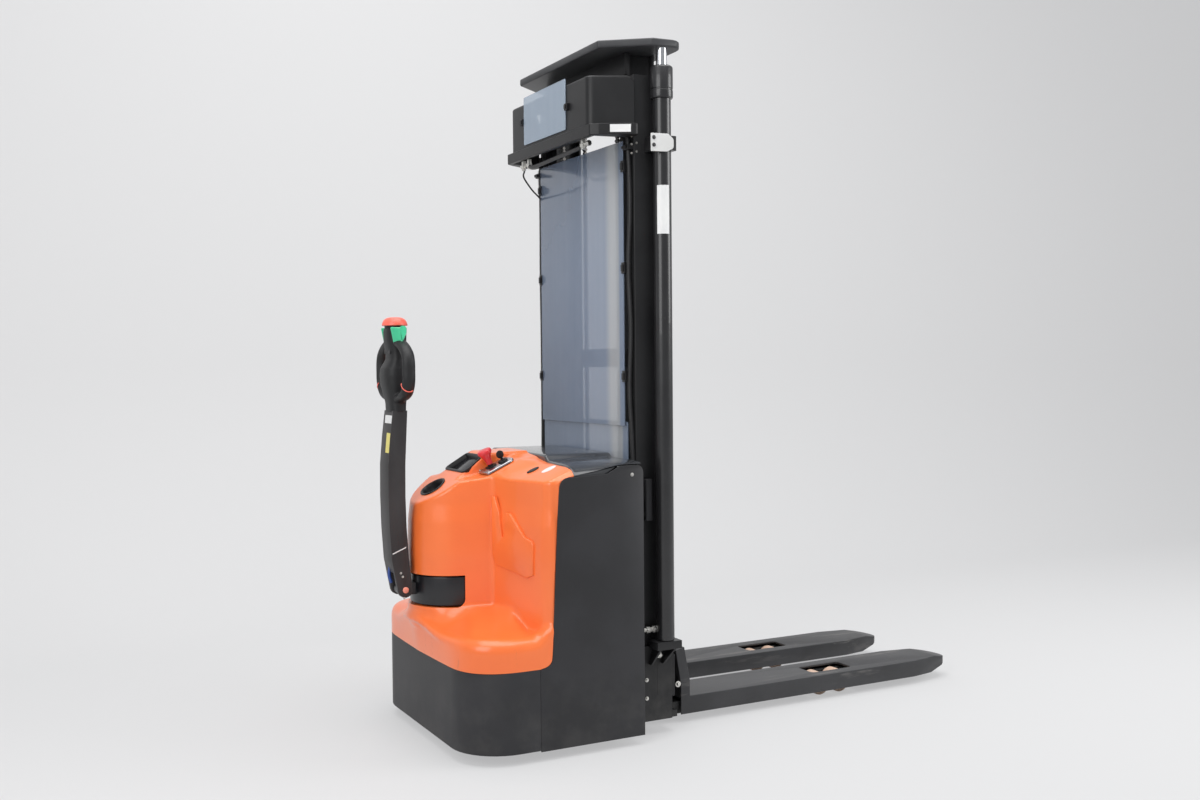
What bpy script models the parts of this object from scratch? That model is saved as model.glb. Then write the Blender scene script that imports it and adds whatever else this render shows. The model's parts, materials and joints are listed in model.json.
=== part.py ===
"""Walkie stacker: a pedestrian-steered electric stacker with a two-stage mast and overlapping forks.

Metres, +Z up. +X runs from the operator to the fork tips, +Y to the left. Inside this script x = 0 is
the operator-side face of the mast and z = 0 the floor. The datum empty then moves the whole machine,
so that the world origin lies on the floor under the middle of the machine's length.
"""

import math

import bmesh
import bpy
from mathutils import Matrix, Vector

# Chassis and its panels
HALF_WIDTH = 0.425
WHEEL_ROOM, SLEW_ROOM = 0.015, 0.013
CORNER_RADIUS = 0.16
GROUND_CLEARANCE = 0.035
SKIRT_TOP = 0.280
SKIRT_REAR_X = -0.358
SKIRT_WALL = 0.005
PANEL_WALL = 0.004
PANEL_TOP = 0.877
DECK_Z = 0.400
COVER_WALL = 0.006
HUMP_RADIUS = 0.145
DASH_LOW_X, DASH_LOW_Z = -0.600, 0.757
DASH_HIGH_X, DASH_HIGH_Z = -0.372, 0.908
DASH_HALF = 0.075
SHOULDER_X, SHOULDER_Z, SHOULDER_SLOPE = -0.410, 0.832, 20.0
BEZEL_X, BEZEL_Z, BEZEL_SLOPE = -0.400, 0.848, 25.0
COVER_REAR_X = -0.240
LID_TOP = 0.905
LID_DEPTH = 0.026
FRAME_PLATE = 0.010
FRAME_REAR_X = -0.002
DRIVE_DECK_Z, DRIVE_DECK = 0.285, 0.012
BATTERY_LENGTH, BATTERY_HEIGHT, BATTERY_SIDE_ROOM = 0.210, 0.627, 0.113
PUMP_X, PUMP_RADIUS, PUMP_HEIGHT, PUMP_SIDE_ROOM = -0.300, 0.045, 0.240, 0.155

# Dash: the display lies on the middle slope, and the bezel beside it holds the emergency stop and key
STOP_X, STOP_Y, STOP_RADIUS = -0.386, -0.105, 0.0215
KEY_X, KEY_Y, KEY_RADIUS = -0.338, -0.118, 0.0100

# Steering, drive and casters
STEER_X = -0.470
WHEEL_RADIUS, WHEEL_WIDTH = 0.098, 0.070
DRUM_LOW, DRUM_HIGH, DRUM_SINK = 0.437, 0.528, 0.007
MOTOR_RADIUS = 0.065
SLEW_RADIUS, SLEW_BORE, NECK_RADIUS = 0.100, 0.090, 0.084
SLOT_HALF_ANGLE = 76.0
CASTER_X, CASTER_SIDE_ROOM = -0.400, 0.135
CASTER_RADIUS, CASTER_WIDTH, CASTER_TRAIL, CASTER_AXLE = 0.075, 0.040, 0.028, 0.008

# Tiller
PIVOT_REACH, PIVOT_Z = 0.030, 0.485
TONGUE_HALF = 0.026
ARM_HALF_WIDTH = 0.043
ARM_TOP = 1.050
ARM_BOW, ARM_HALF_DEPTH = 0.024, 0.0275
HEAD_BACK, HEAD_DEPTH = 0.010, 0.044
HEAD_HALF_WIDTH = 0.145
HEAD_TOP = 1.310
THROTTLE_Z = 1.284
GRIP_LOW, GRIP_HIGH = 1.118, 1.218
GRIP_IN, GRIP_WALL = 0.058, 0.026
BUTTONS = {"lift_button": (0.020, 1.236), "lower_button": (-0.020, 1.236), "horn_button": (0.0, 1.196)}
BUTTON_RADIUS, BUTTON_PROUD = 0.010, 0.004

# Mast. What hangs from the top plate, or stands on the channels, takes its place from them.
MAST_DEPTH = 0.120
MAST_FRONT_X = 0.020
MAST_LOW = 0.080
OUTER_WEB_Y = 0.345
OUTER_FLANGE_Y = 0.295
WEB, FLANGE = 0.008, 0.009
RAIL_PLAY = 0.011
INNER_OUT_Y, INNER_IN_Y, INNER_WEB_Y = 0.289, 0.234, 0.268
INNER_LOW = 0.100
TIE_SETBACK, TIE_DEPTH = 0.009, 0.011
TIES = ((0.640, 0.720), (1.180, 1.240))
TOP_PLATE_Z, TOP_PLATE = 2.180, 0.025
OUTER_ROOM, CYLINDER_ROOM, PULLEY_ROOM, GUARD_ROOM = 0.080, 0.056, 0.100, 0.285
SHROUD_ROOM, SHROUD_HEIGHT = 0.086, 0.156
CYLINDER_RADIUS, ROD_RADIUS, BORE_RADIUS = 0.029, 0.0175, 0.0185
CYLINDER_LOW, CYLINDER_SETBACK, CYLINDER_PLAY = 0.3103, 0.039, 0.008
COLLAR_WALL, COLLAR_HEIGHT, CLAMP_HEIGHT = 0.007, 0.105, 0.050
PULLEY_INSET, PULLEY_WIDTH, PULLEY_Y = 0.013, 0.024, 0.200
CHAIN_WIDTH, CHAIN_THICK = 0.018, 0.012
GUIDE_PIN, GUIDE_PLAY = 0.012, 0.001
MAST_ROLLER_Z, CARRIAGE_ROLLER_Z = 0.180, 0.520
GUARD_X, GUARD_HALF, GUARD_LOW, GUARD_WALL = 0.000, 0.306, 0.992, 0.004
SHROUD_X, SHROUD_HALF, SHROUD_FLARE, SHROUD_WALL, LEDGE_DROP = -0.116, 0.296, 0.42, 0.004, 0.035

# Forks, carriage and support legs
FORK_SPREAD, FORK_WIDTH = 0.570, 0.180
HEEL_SETBACK, FORK_LENGTH = 0.112, 1.168
FORK_TOP, FORK_LOW = 0.088, 0.029
FORK_SKIN, FORK_SIDE = 0.008, 0.005
CARRIAGE_TOP = 0.620
CARRIAGE_PLATE_Y = 0.228
LEG_INSET, LEG_LOW, LEG_TOP = 0.015, 0.030, 0.071
LEG_SHORT, BOGIE_BACK = 0.400, 0.540
ROLLER_RADIUS, ROLLER_WIDTH, ROLLER_GAP, ROLLER_AXLE = 0.039, 0.066, 0.005, 0.009
BOGIE_PIN, PIN_RISE = 0.008, 0.008
WINDOW_ROOM, WINDOW_WIDTH, WINDOW_CORNER = 0.005, 0.086, 0.012

GAP = 0.0003
RUNNING = 0.0006
SIDES = {"right": -1, "left": 1}

MAST_REAR_X = MAST_FRONT_X + MAST_DEPTH
HEEL_X = MAST_REAR_X + HEEL_SETBACK
TIP_X = HEEL_X + FORK_LENGTH
LEG_END_X, BOGIE_X = TIP_X - LEG_SHORT, TIP_X - BOGIE_BACK
BOGIE_HALF = ROLLER_RADIUS + ROLLER_GAP
WINDOW_LENGTH = 2 * (BOGIE_HALF + ROLLER_RADIUS + WINDOW_ROOM)
FORK_Y = (FORK_SPREAD - FORK_WIDTH) / 2
LEG_WIDTH = FORK_WIDTH - 2 * LEG_INSET
TAIL_X = STEER_X - max(WHEEL_RADIUS + WHEEL_ROOM, SLEW_RADIUS + SLEW_ROOM)
DRUM_RADIUS = HUMP_RADIUS - DRUM_SINK
PIVOT_X = STEER_X - HUMP_RADIUS - PIVOT_REACH
ARM_BOW_X, HEAD_X = PIVOT_X - ARM_BOW, PIVOT_X - HEAD_BACK
CASTER_Y = HALF_WIDTH - CASTER_SIDE_ROOM
OUTER_TOP, CYLINDER_TOP = TOP_PLATE_Z - OUTER_ROOM, TOP_PLATE_Z - CYLINDER_ROOM
PULLEY_Z, GUARD_TOP = TOP_PLATE_Z - PULLEY_ROOM, TOP_PLATE_Z - GUARD_ROOM
SHROUD_TOP = TOP_PLATE_Z - SHROUD_ROOM
SHROUD_LOW = SHROUD_TOP - SHROUD_HEIGHT
INNER_FRONT_X, INNER_DEPTH = MAST_FRONT_X + RAIL_PLAY, MAST_DEPTH - 2 * RAIL_PLAY
PULLEY_X, PULLEY_RADIUS = INNER_FRONT_X + INNER_DEPTH / 2 + 0.004, INNER_DEPTH / 2 - PULLEY_INSET
CYLINDER_X = MAST_REAR_X - CYLINDER_SETBACK
CYLINDER_Y = OUTER_WEB_Y + CYLINDER_RADIUS + CYLINDER_PLAY
MAST_ROLLER_X, MAST_ROLLER_RADIUS = MAST_FRONT_X + MAST_DEPTH / 2, MAST_DEPTH / 2 - FLANGE - GUIDE_PLAY
CARRIAGE_ROLLER_X, CARRIAGE_ROLLER_RADIUS = INNER_FRONT_X + INNER_DEPTH / 2, INNER_DEPTH / 2 - FLANGE - GUIDE_PLAY
TILLER_FRONT_X = min(ARM_BOW_X - ARM_HALF_DEPTH, HEAD_X - HEAD_DEPTH / 2 - BUTTON_PROUD)
DASH_SLOPE = math.atan2(DASH_HIGH_Z - DASH_LOW_Z, DASH_HIGH_X - DASH_LOW_X)
DASH_PLANE = (DASH_LOW_X, DASH_LOW_Z, DASH_SLOPE)
BEZEL_PLANE = (BEZEL_X, BEZEL_Z, math.radians(BEZEL_SLOPE))
ORIGIN_X = (TILLER_FRONT_X + TIP_X) / 2

for old in list(bpy.data.objects):
    bpy.data.objects.remove(old)

datum = bpy.data.objects.new("datum", None)
bpy.context.collection.objects.link(datum)
datum.location = (-ORIGIN_X, 0, 0)


# Materials: name, colour, roughness, metallic, alpha
def paint(name, colour, roughness, metallic=0.0, alpha=1.0):
    material = bpy.data.materials.new(name)
    material.use_nodes = True
    shader = material.node_tree.nodes["Principled BSDF"]
    shader.inputs["Base Color"].default_value = (*colour, 1.0)
    shader.inputs["Roughness"].default_value = roughness
    shader.inputs["Metallic"].default_value = metallic
    shader.inputs["Alpha"].default_value = alpha
    return material


FINISHES = {
    "orange_cover": paint("orange_cover", (0.95, 0.15, 0.03), 0.35),
    "dark_panel": paint("dark_panel", (0.045, 0.045, 0.050), 0.55),
    "mast_paint": paint("mast_paint", (0.020, 0.020, 0.023), 0.50),
    "fork_paint": paint("fork_paint", (0.060, 0.060, 0.066), 0.50),
    "lid_plastic": paint("lid_plastic", (0.020, 0.020, 0.023), 0.30),
    "bright_steel": paint("bright_steel", (0.60, 0.60, 0.60), 0.25, 1.0),
    "chain_steel": paint("chain_steel", (0.16, 0.15, 0.14), 0.45, 0.9),
    "black_plastic": paint("black_plastic", (0.030, 0.030, 0.032), 0.45),
    "tyre": paint("tyre", (0.040, 0.035, 0.032), 0.60),
    "load_roller": paint("load_roller", (0.68, 0.42, 0.34), 0.55),
    "red_plastic": paint("red_plastic", (0.60, 0.030, 0.040), 0.40),
    "green_plastic": paint("green_plastic", (0.060, 0.55, 0.28), 0.40),
    "clear_guard": paint("clear_guard", (0.55, 0.62, 0.75), 0.15, 0.0, 0.35),
    "battery_case": paint("battery_case", (0.070, 0.075, 0.080), 0.60),
    "cast_drive": paint("cast_drive", (0.10, 0.10, 0.11), 0.50),
}


# Making and joining solids
def link(name, bm):
    bmesh.ops.recalc_face_normals(bm, faces=bm.faces)
    mesh = bpy.data.meshes.new(name)
    bm.to_mesh(mesh)
    bm.free()
    obj = bpy.data.objects.new(name, mesh)
    bpy.context.collection.objects.link(obj)
    obj.parent = datum
    return obj


def box(name, low, high):
    bm = bmesh.new()
    bmesh.ops.create_cube(bm, size=1.0)
    size = Vector(high) - Vector(low)
    bmesh.ops.scale(bm, vec=size, verts=bm.verts)
    bmesh.ops.translate(bm, vec=Vector(low) + size / 2, verts=bm.verts)
    return link(name, bm)


def rod(name, start, end, radius, sides=24, end_radius=None):
    start, end = Vector(start), Vector(end)
    along = end - start
    bm = bmesh.new()
    bmesh.ops.create_cone(
        bm,
        cap_ends=True,
        segments=sides,
        radius1=radius,
        radius2=radius if end_radius is None else end_radius,
        depth=along.length,
    )
    turn = along.to_track_quat("Z", "Y").to_matrix().to_4x4()
    bmesh.ops.transform(bm, matrix=Matrix.Translation(start + along / 2) @ turn, verts=bm.verts)
    return link(name, bm)


def prism(name, outline, axis, low, high):
    """Extrudes an outline along an axis: (x, y) along Z, (x, z) along Y, (y, z) along X."""
    place = {
        "Z": lambda a, b, c: (a, b, c),
        "Y": lambda a, b, c: (a, c, b),
        "X": lambda a, b, c: (c, a, b),
    }[axis]
    bm = bmesh.new()
    ends = [[bm.verts.new(place(a, b, c)) for a, b in outline] for c in (low, high)]
    for ring in ends:
        bm.faces.new(ring)
    for i in range(len(outline)):
        j = (i + 1) % len(outline)
        bm.faces.new((ends[0][i], ends[0][j], ends[1][j], ends[1][i]))
    return link(name, bm)


def arc(cx, cy, radius, first, last, steps):
    """Points on an arc, angles in degrees."""
    angles = [math.radians(first + (last - first) * i / steps) for i in range(steps + 1)]
    return [(cx + radius * math.cos(a), cy + radius * math.sin(a)) for a in angles]


def mirrored(half):
    """Closes an outline given for y >= 0, from the front to the rear."""
    return half + [(x, -y) for x, y in reversed(half) if abs(y) > 1e-6]


def combine(target, others, operation):
    for other in others:
        modifier = target.modifiers.new(other.name, "BOOLEAN")
        modifier.operation = operation
        modifier.object = other
        other.hide_render = True
        other.display_type = "WIRE"
    return target


def join(target, *others):
    return combine(target, others, "UNION")


def cut(target, *others):
    return combine(target, others, "DIFFERENCE")


def finish(obj, finish_name, pivot=None, smooth=False):
    """Gives a node its material and, when it moves, an origin on its joint's axis."""
    obj.data.materials.append(FINISHES[finish_name])
    if smooth:
        obj.data.shade_smooth()
        obj.data.set_sharp_from_angle(angle=math.radians(35))
    if pivot is not None:
        obj.data.transform(Matrix.Translation(-Vector(pivot)))
        obj.location = pivot
    return obj


# Plan outlines of the chassis
def tail_outline(inset, rear_x):
    """Rounded operator end in plan, moved inwards by inset and ending at rear_x."""
    side = HALF_WIDTH - inset
    radius = CORNER_RADIUS - inset
    front = TAIL_X + inset
    centre_y = side - radius
    return mirrored(arc(front + radius, centre_y, radius, 180, 90, 10) + [(rear_x, side)])


def upper_outline(inset):
    """Steering hump and the two slanting walls behind it, in plan."""
    hump = arc(STEER_X, 0, HUMP_RADIUS - inset, 180, 95, 8)
    side = HALF_WIDTH - inset
    wall = [(STEER_X + 0.030, HUMP_RADIUS + 0.023 - inset), (-0.372, side - 0.080), (-0.330, side - 0.025)]
    return mirrored(hump + wall + [(COVER_REAR_X - inset, side - 0.007)])


# Chassis frame: floor, battery bulkhead, drive deck and rear wall, welded together
def make_base_frame():
    inside = SKIRT_WALL + 0.002
    floor_low = GROUND_CLEARANCE + 0.010
    floor_top = floor_low + FRAME_PLATE
    half = HALF_WIDTH - PANEL_WALL - 0.002
    wall_half = half - 0.02
    frame = box("base_frame", (COVER_REAR_X - 0.030, -half, floor_low), (FRAME_REAR_X, half, floor_top))
    bulkhead_x = COVER_REAR_X + 0.0005
    bulkhead = box("frame_bulkhead", (bulkhead_x, -wall_half, floor_low), (bulkhead_x + 0.008, wall_half, PANEL_TOP - 0.087))
    rear_low, rear_top = (FRAME_REAR_X - FRAME_PLATE, -wall_half, floor_low), (FRAME_REAR_X, wall_half, PANEL_TOP - 0.017)
    rear = box("frame_rear_wall", rear_low, rear_top)
    deck_plan = tail_outline(inside + 0.004, COVER_REAR_X + 0.002)
    deck = prism("frame_drive_deck", deck_plan, "Z", DRIVE_DECK_Z, DRIVE_DECK_Z + DRIVE_DECK)
    join(frame, bulkhead, rear, deck)
    hole = rod("frame_drive_hole", (STEER_X, 0, 0.2), (STEER_X, 0, 0.4), SLEW_BORE, 32)
    finish(cut(frame, hole), "dark_panel")


def make_skirt():
    low, top = GROUND_CLEARANCE, SKIRT_TOP - GAP
    skirt = prism("front_skirt", tail_outline(0, SKIRT_REAR_X - GAP), "Z", low, top)
    inner = prism("skirt_inside", tail_outline(SKIRT_WALL, SKIRT_REAR_X + 0.1), "Z", low - 0.1, top + 0.1)
    finish(cut(skirt, inner), "dark_panel")


def make_side_panels():
    lower_x = SKIRT_REAR_X
    outline = [
        (0.0, GROUND_CLEARANCE - 0.004),
        (0.0, PANEL_TOP),
        (-0.082, PANEL_TOP),
        (-0.128, PANEL_TOP - 0.023),
        (-0.240, PANEL_TOP - 0.027),
        *arc(-0.258, PANEL_TOP - 0.059, 0.032, 90, 175, 4),
        (-0.297, 0.724),
        (-0.317, SKIRT_TOP + 0.040),
        *arc(-0.346, SKIRT_TOP + 0.030, 0.028, 0, -80, 3),
        (lower_x, SKIRT_TOP),
        (lower_x, GROUND_CLEARANCE - 0.004),
    ]
    for side, sign in SIDES.items():
        ends = sorted((sign * (HALF_WIDTH - PANEL_WALL), sign * HALF_WIDTH))
        finish(prism(f"side_panel_{side}", outline, "Y", *ends), "dark_panel")


def on_plane(plane, x, y, height):
    """A point above a sloping plane, given as (x, z, slope) of its low edge, measured along its normal."""
    x0, z0, slope = plane
    foot = Vector((x, y, z0 + (x - x0) * math.tan(slope)))
    return foot + Vector((-math.sin(slope), 0, math.cos(slope))) * height


def bezel_point(x, y, height):
    return on_plane(BEZEL_PLANE, x, y, height)


def on_plane_plate(name, plane, x_range, y_range, heights):
    corners = [(x_range[0], heights[0]), (x_range[1], heights[0]), (x_range[1], heights[1]), (x_range[0], heights[1])]
    ends = [on_plane(plane, x, 0, height) for x, height in corners]
    return prism(name, [(p.x, p.z) for p in ends], "Y", *y_range)


def make_front_cover():
    """Orange moulded cover: low deck, steering hump, slanting walls and stepped dash."""
    low = SKIRT_TOP + GAP
    top = DASH_HIGH_Z + 0.03
    cover = prism("front_cover", tail_outline(0.001, SKIRT_REAR_X - GAP), "Z", low, DECK_Z)
    upper = prism("cover_upper", upper_outline(0), "Z", DECK_Z - 0.02, top)
    shoulder_half = HALF_WIDTH - PANEL_WALL - 0.001
    shoulder_low, shoulder_high = (SKIRT_REAR_X - 0.012, -shoulder_half, low), (COVER_REAR_X - 0.006, shoulder_half, top)
    shoulder = box("cover_shoulder", shoulder_low, shoulder_high)
    join(cover, upper, shoulder)
    far = (-0.1, 1.2)
    ahead = (-0.7, on_plane(DASH_PLANE, -0.7, 0, 0).z)
    middle = [ahead, (DASH_HIGH_X, DASH_HIGH_Z), (-0.1, DASH_HIGH_Z + 0.004), far, (-0.7, 1.2)]
    rise = math.tan(math.radians(SHOULDER_SLOPE)) * (-0.1 - SHOULDER_X)
    side = [ahead, (-0.490, SHOULDER_Z - 0.003), (SHOULDER_X, SHOULDER_Z), (-0.1, SHOULDER_Z + rise), far, (-0.7, 1.2)]
    dash_cut = prism("cover_dash_cut", middle, "Y", -0.6, 0.6)
    side_cuts = [
        prism(f"cover_side_cut_{name}", side, "Y", *sorted((sign * DASH_HALF, sign * 0.6))) for name, sign in SIDES.items()
    ]
    seat = on_plane_plate("cover_bezel_seat", BEZEL_PLANE, (-0.436, -0.290), (-0.170, -0.060), (0.0, 0.08))
    deck_room = tail_outline(COVER_WALL + 0.002, COVER_REAR_X + 0.05)
    deck_inside = prism("cover_deck_inside", deck_room, "Z", 0.1, DECK_Z - COVER_WALL)
    upper_inside = prism("cover_upper_inside", upper_outline(COVER_WALL), "Z", DECK_Z + 0.003, DASH_LOW_Z - COVER_WALL)
    pump_half = HALF_WIDTH - PUMP_SIDE_ROOM + PUMP_RADIUS + 0.015
    pump_low, pump_high = (-0.372, -pump_half, DECK_Z - 0.05), (COVER_REAR_X - COVER_WALL, pump_half, DECK_Z + 0.05)
    pump_room = box("cover_pump_room", pump_low, pump_high)
    slot_angles = (180 - SLOT_HALF_ANGLE, 180 + SLOT_HALF_ANGLE)
    slot = prism(
        "cover_drum_slot",
        arc(STEER_X, 0, HUMP_RADIUS + 0.06, *slot_angles, 12) + [(STEER_X + 0.04, 0)],
        "Z", DRUM_LOW - 0.004, DRUM_HIGH + 0.004,
    )
    well = rod("cover_drum_well", (STEER_X, 0, DRUM_LOW - 0.004), (STEER_X, 0, DRUM_HIGH + 0.004), DRUM_RADIUS + 0.004, 32)
    motor_well = rod("cover_motor_well", (STEER_X, 0, DECK_Z - 0.05), (STEER_X, 0, DRUM_LOW + 0.01), MOTOR_RADIUS + 0.006)
    cut(cover, dash_cut, *side_cuts, seat, deck_inside, upper_inside, pump_room, slot, well, motor_well)
    finish(cover, "orange_cover")


def make_battery():
    rear_x = FRAME_REAR_X - FRAME_PLATE - 0.004
    half = HALF_WIDTH - BATTERY_SIDE_ROOM
    low = GROUND_CLEARANCE + 0.010 + FRAME_PLATE + GAP
    battery = box("battery", (rear_x - BATTERY_LENGTH, -half, low), (rear_x, half, low + BATTERY_HEIGHT))
    finish(battery, "battery_case")


def make_power_unit():
    """Hydraulic pump motor with its tank, standing on the drive deck."""
    x, y, low = PUMP_X, HALF_WIDTH - PUMP_SIDE_ROOM, DRIVE_DECK_Z + DRIVE_DECK + GAP
    unit = rod("power_unit", (x, y, low), (x, y, low + PUMP_HEIGHT), PUMP_RADIUS)
    tank_half, beside_drum = PUMP_RADIUS - 0.003, HUMP_RADIUS - 0.045
    tank = box("power_unit_tank", (x - tank_half, beside_drum, low), (x + tank_half, y - 0.030, low + 0.170))
    finish(join(unit, tank), "cast_drive", smooth=True)


def make_battery_lid():
    half = HALF_WIDTH - PANEL_WALL - 0.004
    front_x, rear_x = COVER_REAR_X + 0.001, -0.004
    outline = mirrored([(front_x, half - 0.020), (front_x + 0.02, half), (rear_x, half)])
    lid = prism("battery_lid", outline, "Z", PANEL_TOP - 0.002, LID_TOP - 0.012)
    plateau = mirrored([(front_x + 0.012, half - 0.060), (front_x + 0.03, half - 0.040), (rear_x, half - 0.040)])
    raised = prism("lid_plateau", plateau, "Z", LID_TOP - LID_DEPTH, LID_TOP)
    finish(join(lid, raised), "lid_plastic", pivot=(rear_x, 0, LID_TOP))


def make_dash():
    display = on_plane_plate("display", DASH_PLANE, (-0.466, -0.384), (-0.066, 0.066), (GAP, 0.005))
    finish(display, "lid_plastic")
    bezel = on_plane_plate("dash_panel", BEZEL_PLANE, (-0.424, -0.300), (-0.145, -0.072), (GAP, 0.009))
    stop_hole = rod("dash_stop_hole", bezel_point(STOP_X, STOP_Y, 0.0015), bezel_point(STOP_X, STOP_Y, 0.05), 0.0130)
    key_hole = rod("dash_key_hole", bezel_point(KEY_X, KEY_Y, 0.0015), bezel_point(KEY_X, KEY_Y, 0.05), KEY_RADIUS + 0.001)
    finish(cut(bezel, stop_hole, key_hole), "black_plastic")

    under, crown = bezel_point(STOP_X, STOP_Y, 0.036), bezel_point(STOP_X, STOP_Y, 0.062)
    knob = rod("estop_knob", under, crown, STOP_RADIUS, 24, STOP_RADIUS - 0.0035)
    stem = rod("estop_stem", bezel_point(STOP_X, STOP_Y, 0.009), bezel_point(STOP_X, STOP_Y, 0.038), 0.0115, 16)
    finish(join(knob, stem), "red_plastic", pivot=bezel_point(STOP_X, STOP_Y, 0.009), smooth=True)

    key = rod("key", bezel_point(KEY_X, KEY_Y, 0.003), bezel_point(KEY_X, KEY_Y, 0.018), KEY_RADIUS, 16)
    slope = BEZEL_PLANE[2]
    across = Vector((math.cos(slope), 0, math.sin(slope))) * 0.012
    bow_low, bow_top = bezel_point(KEY_X, KEY_Y, 0.016), bezel_point(KEY_X, KEY_Y, 0.044)
    ends = [bow_low - across, bow_low + across, bow_top + across, bow_top - across]
    bow = prism("key_bow", [(p.x, p.z) for p in ends], "Y", KEY_Y - 0.003, KEY_Y + 0.003)
    finish(join(key, bow), "black_plastic", pivot=bezel_point(KEY_X, KEY_Y, 0.003))


# Drive unit: turntable, motor and gear leg carrying the drive wheel
def make_drive():
    deck_top = DRIVE_DECK_Z + DRIVE_DECK
    unit = rod("drive_unit", (STEER_X, 0, deck_top + GAP), (STEER_X, 0, deck_top + 0.030), SLEW_RADIUS, 32)
    motor = rod("drive_motor", (STEER_X, 0, deck_top + 0.02), (STEER_X, 0, DRUM_LOW - GAP), MOTOR_RADIUS)
    wheel_top, leg_y = 2 * WHEEL_RADIUS, WHEEL_WIDTH / 2 + 0.003
    neck = rod("drive_neck", (STEER_X, 0, wheel_top + 0.034), (STEER_X, 0, deck_top + 0.01), NECK_RADIUS, 32)
    leg = box("drive_leg", (STEER_X - 0.045, leg_y, 0.060), (STEER_X + 0.045, leg_y + 0.030, wheel_top + 0.044))
    axle = rod("drive_axle", (STEER_X, -WHEEL_WIDTH / 2, WHEEL_RADIUS), (STEER_X, leg_y + 0.01, WHEEL_RADIUS), 0.020)
    finish(join(unit, motor, neck, leg, axle), "cast_drive")

    half = WHEEL_WIDTH / 2
    wheel = rod("drive_wheel", (STEER_X, -half, WHEEL_RADIUS), (STEER_X, half, WHEEL_RADIUS), WHEEL_RADIUS, 32)
    bore = rod("drive_bore", (STEER_X, -half - 0.01, WHEEL_RADIUS), (STEER_X, half + 0.01, WHEEL_RADIUS), 0.020 + RUNNING)
    finish(cut(wheel, bore), "tyre", pivot=(STEER_X, 0, WHEEL_RADIUS), smooth=True)


def make_casters():
    top = DRIVE_DECK_Z - GAP
    for side, sign in SIDES.items():
        x, y = CASTER_X, sign * CASTER_Y
        axle_x = x + CASTER_TRAIL
        fork = rod(f"caster_fork_{side}", (x, y, top - 0.030), (x, y, top), 0.042)
        crown_half = CASTER_WIDTH / 2 + 0.009
        crown = box(f"caster_crown_{side}", (x - 0.035, y - crown_half, 0.190), (x + 0.045, y + crown_half, top - 0.02))
        join(fork, crown)
        for end in (-1, 1):
            inner, outer = CASTER_WIDTH / 2 + 0.002, crown_half
            ys = sorted((y + end * inner, y + end * outer))
            join(fork, box(f"caster_leg_{side}_{end}", (axle_x - 0.022, ys[0], 0.055), (axle_x + 0.022, ys[1], 0.200)))
        room_half = CASTER_WIDTH / 2 + 0.0018
        room_ends = [(axle_x, y + end * room_half, CASTER_RADIUS) for end in (-1, 1)]
        cut(fork, rod(f"caster_room_{side}", *room_ends, CASTER_RADIUS + 0.006, 24))
        ends = [(axle_x, y + end * (crown_half - 0.002), CASTER_RADIUS) for end in (-1, 1)]
        join(fork, rod(f"caster_axle_{side}", *ends, CASTER_AXLE, 16))
        finish(fork, "bright_steel", pivot=(x, y, top))
        half = CASTER_WIDTH / 2
        wheel_ends = [(axle_x, y + end * half, CASTER_RADIUS) for end in (-1, 1)]
        wheel = rod(f"caster_wheel_{side}", *wheel_ends, CASTER_RADIUS, 24)
        bore_ends = [(axle_x, y + end * (half + 0.01), CASTER_RADIUS) for end in (-1, 1)]
        bore = rod(f"caster_bore_{side}", *bore_ends, CASTER_AXLE + RUNNING, 16)
        finish(cut(wheel, bore), "tyre", pivot=(axle_x, y, CASTER_RADIUS), smooth=True)


# Tiller: drum and tongue, bowed arm, head with its controls
def make_tiller_base():
    base = rod("tiller_base", (STEER_X, 0, DRUM_LOW), (STEER_X, 0, DRUM_HIGH), DRUM_RADIUS, 32)
    nose = 0.019
    tongue = prism(
        "tiller_tongue",
        [(STEER_X, PIVOT_Z - nose), (STEER_X, PIVOT_Z + nose)] + arc(PIVOT_X, PIVOT_Z, nose, 90, 270, 8),
        "Y", -TONGUE_HALF, TONGUE_HALF,
    )
    pin_half = ARM_HALF_WIDTH + 0.004
    pin = rod("tiller_pin", (PIVOT_X, -pin_half, PIVOT_Z), (PIVOT_X, pin_half, PIVOT_Z), 0.009, 16)
    finish(join(base, tongue, pin), "black_plastic", pivot=(STEER_X, 0, DRUM_LOW))


def arm_outline():
    """Side view of the bowed arm: a circular foot, then a centre line with a half depth at each height."""
    bow, deep = ARM_BOW_X, ARM_HALF_DEPTH
    stations = [
        (PIVOT_Z + 0.095, bow + 0.0090, deep),
        (PIVOT_Z + 0.195, bow + 0.0025, deep),
        (PIVOT_Z + 0.295, bow, deep),
        (PIVOT_Z + 0.395, bow + 0.0010, deep),
        (PIVOT_Z + 0.485, bow + 0.0070, deep - 0.002),
        (ARM_TOP - GAP, HEAD_X, deep - 0.0045),
    ]
    foot = arc(PIVOT_X, PIVOT_Z, 0.024, 195, 350, 8)
    rear = [(x + half, z) for z, x, half in stations]
    front = [(x - half, z) for z, x, half in reversed(stations)]
    return foot + rear + front


def make_tiller_arm():
    arm = prism("tiller_arm", arm_outline(), "Y", -ARM_HALF_WIDTH, ARM_HALF_WIDTH)
    slot_half = TONGUE_HALF + 0.002
    slot = box("arm_slot", (PIVOT_X - 0.06, -slot_half, PIVOT_Z - 0.06), (PIVOT_X + 0.06, slot_half, PIVOT_Z + 0.055))
    bore = rod("arm_bore", (PIVOT_X, -0.1, PIVOT_Z), (PIVOT_X, 0.1, PIVOT_Z), 0.009 + RUNNING, 16)
    finish(cut(arm, slot, bore), "black_plastic", pivot=(PIVOT_X, 0, PIVOT_Z))


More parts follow.
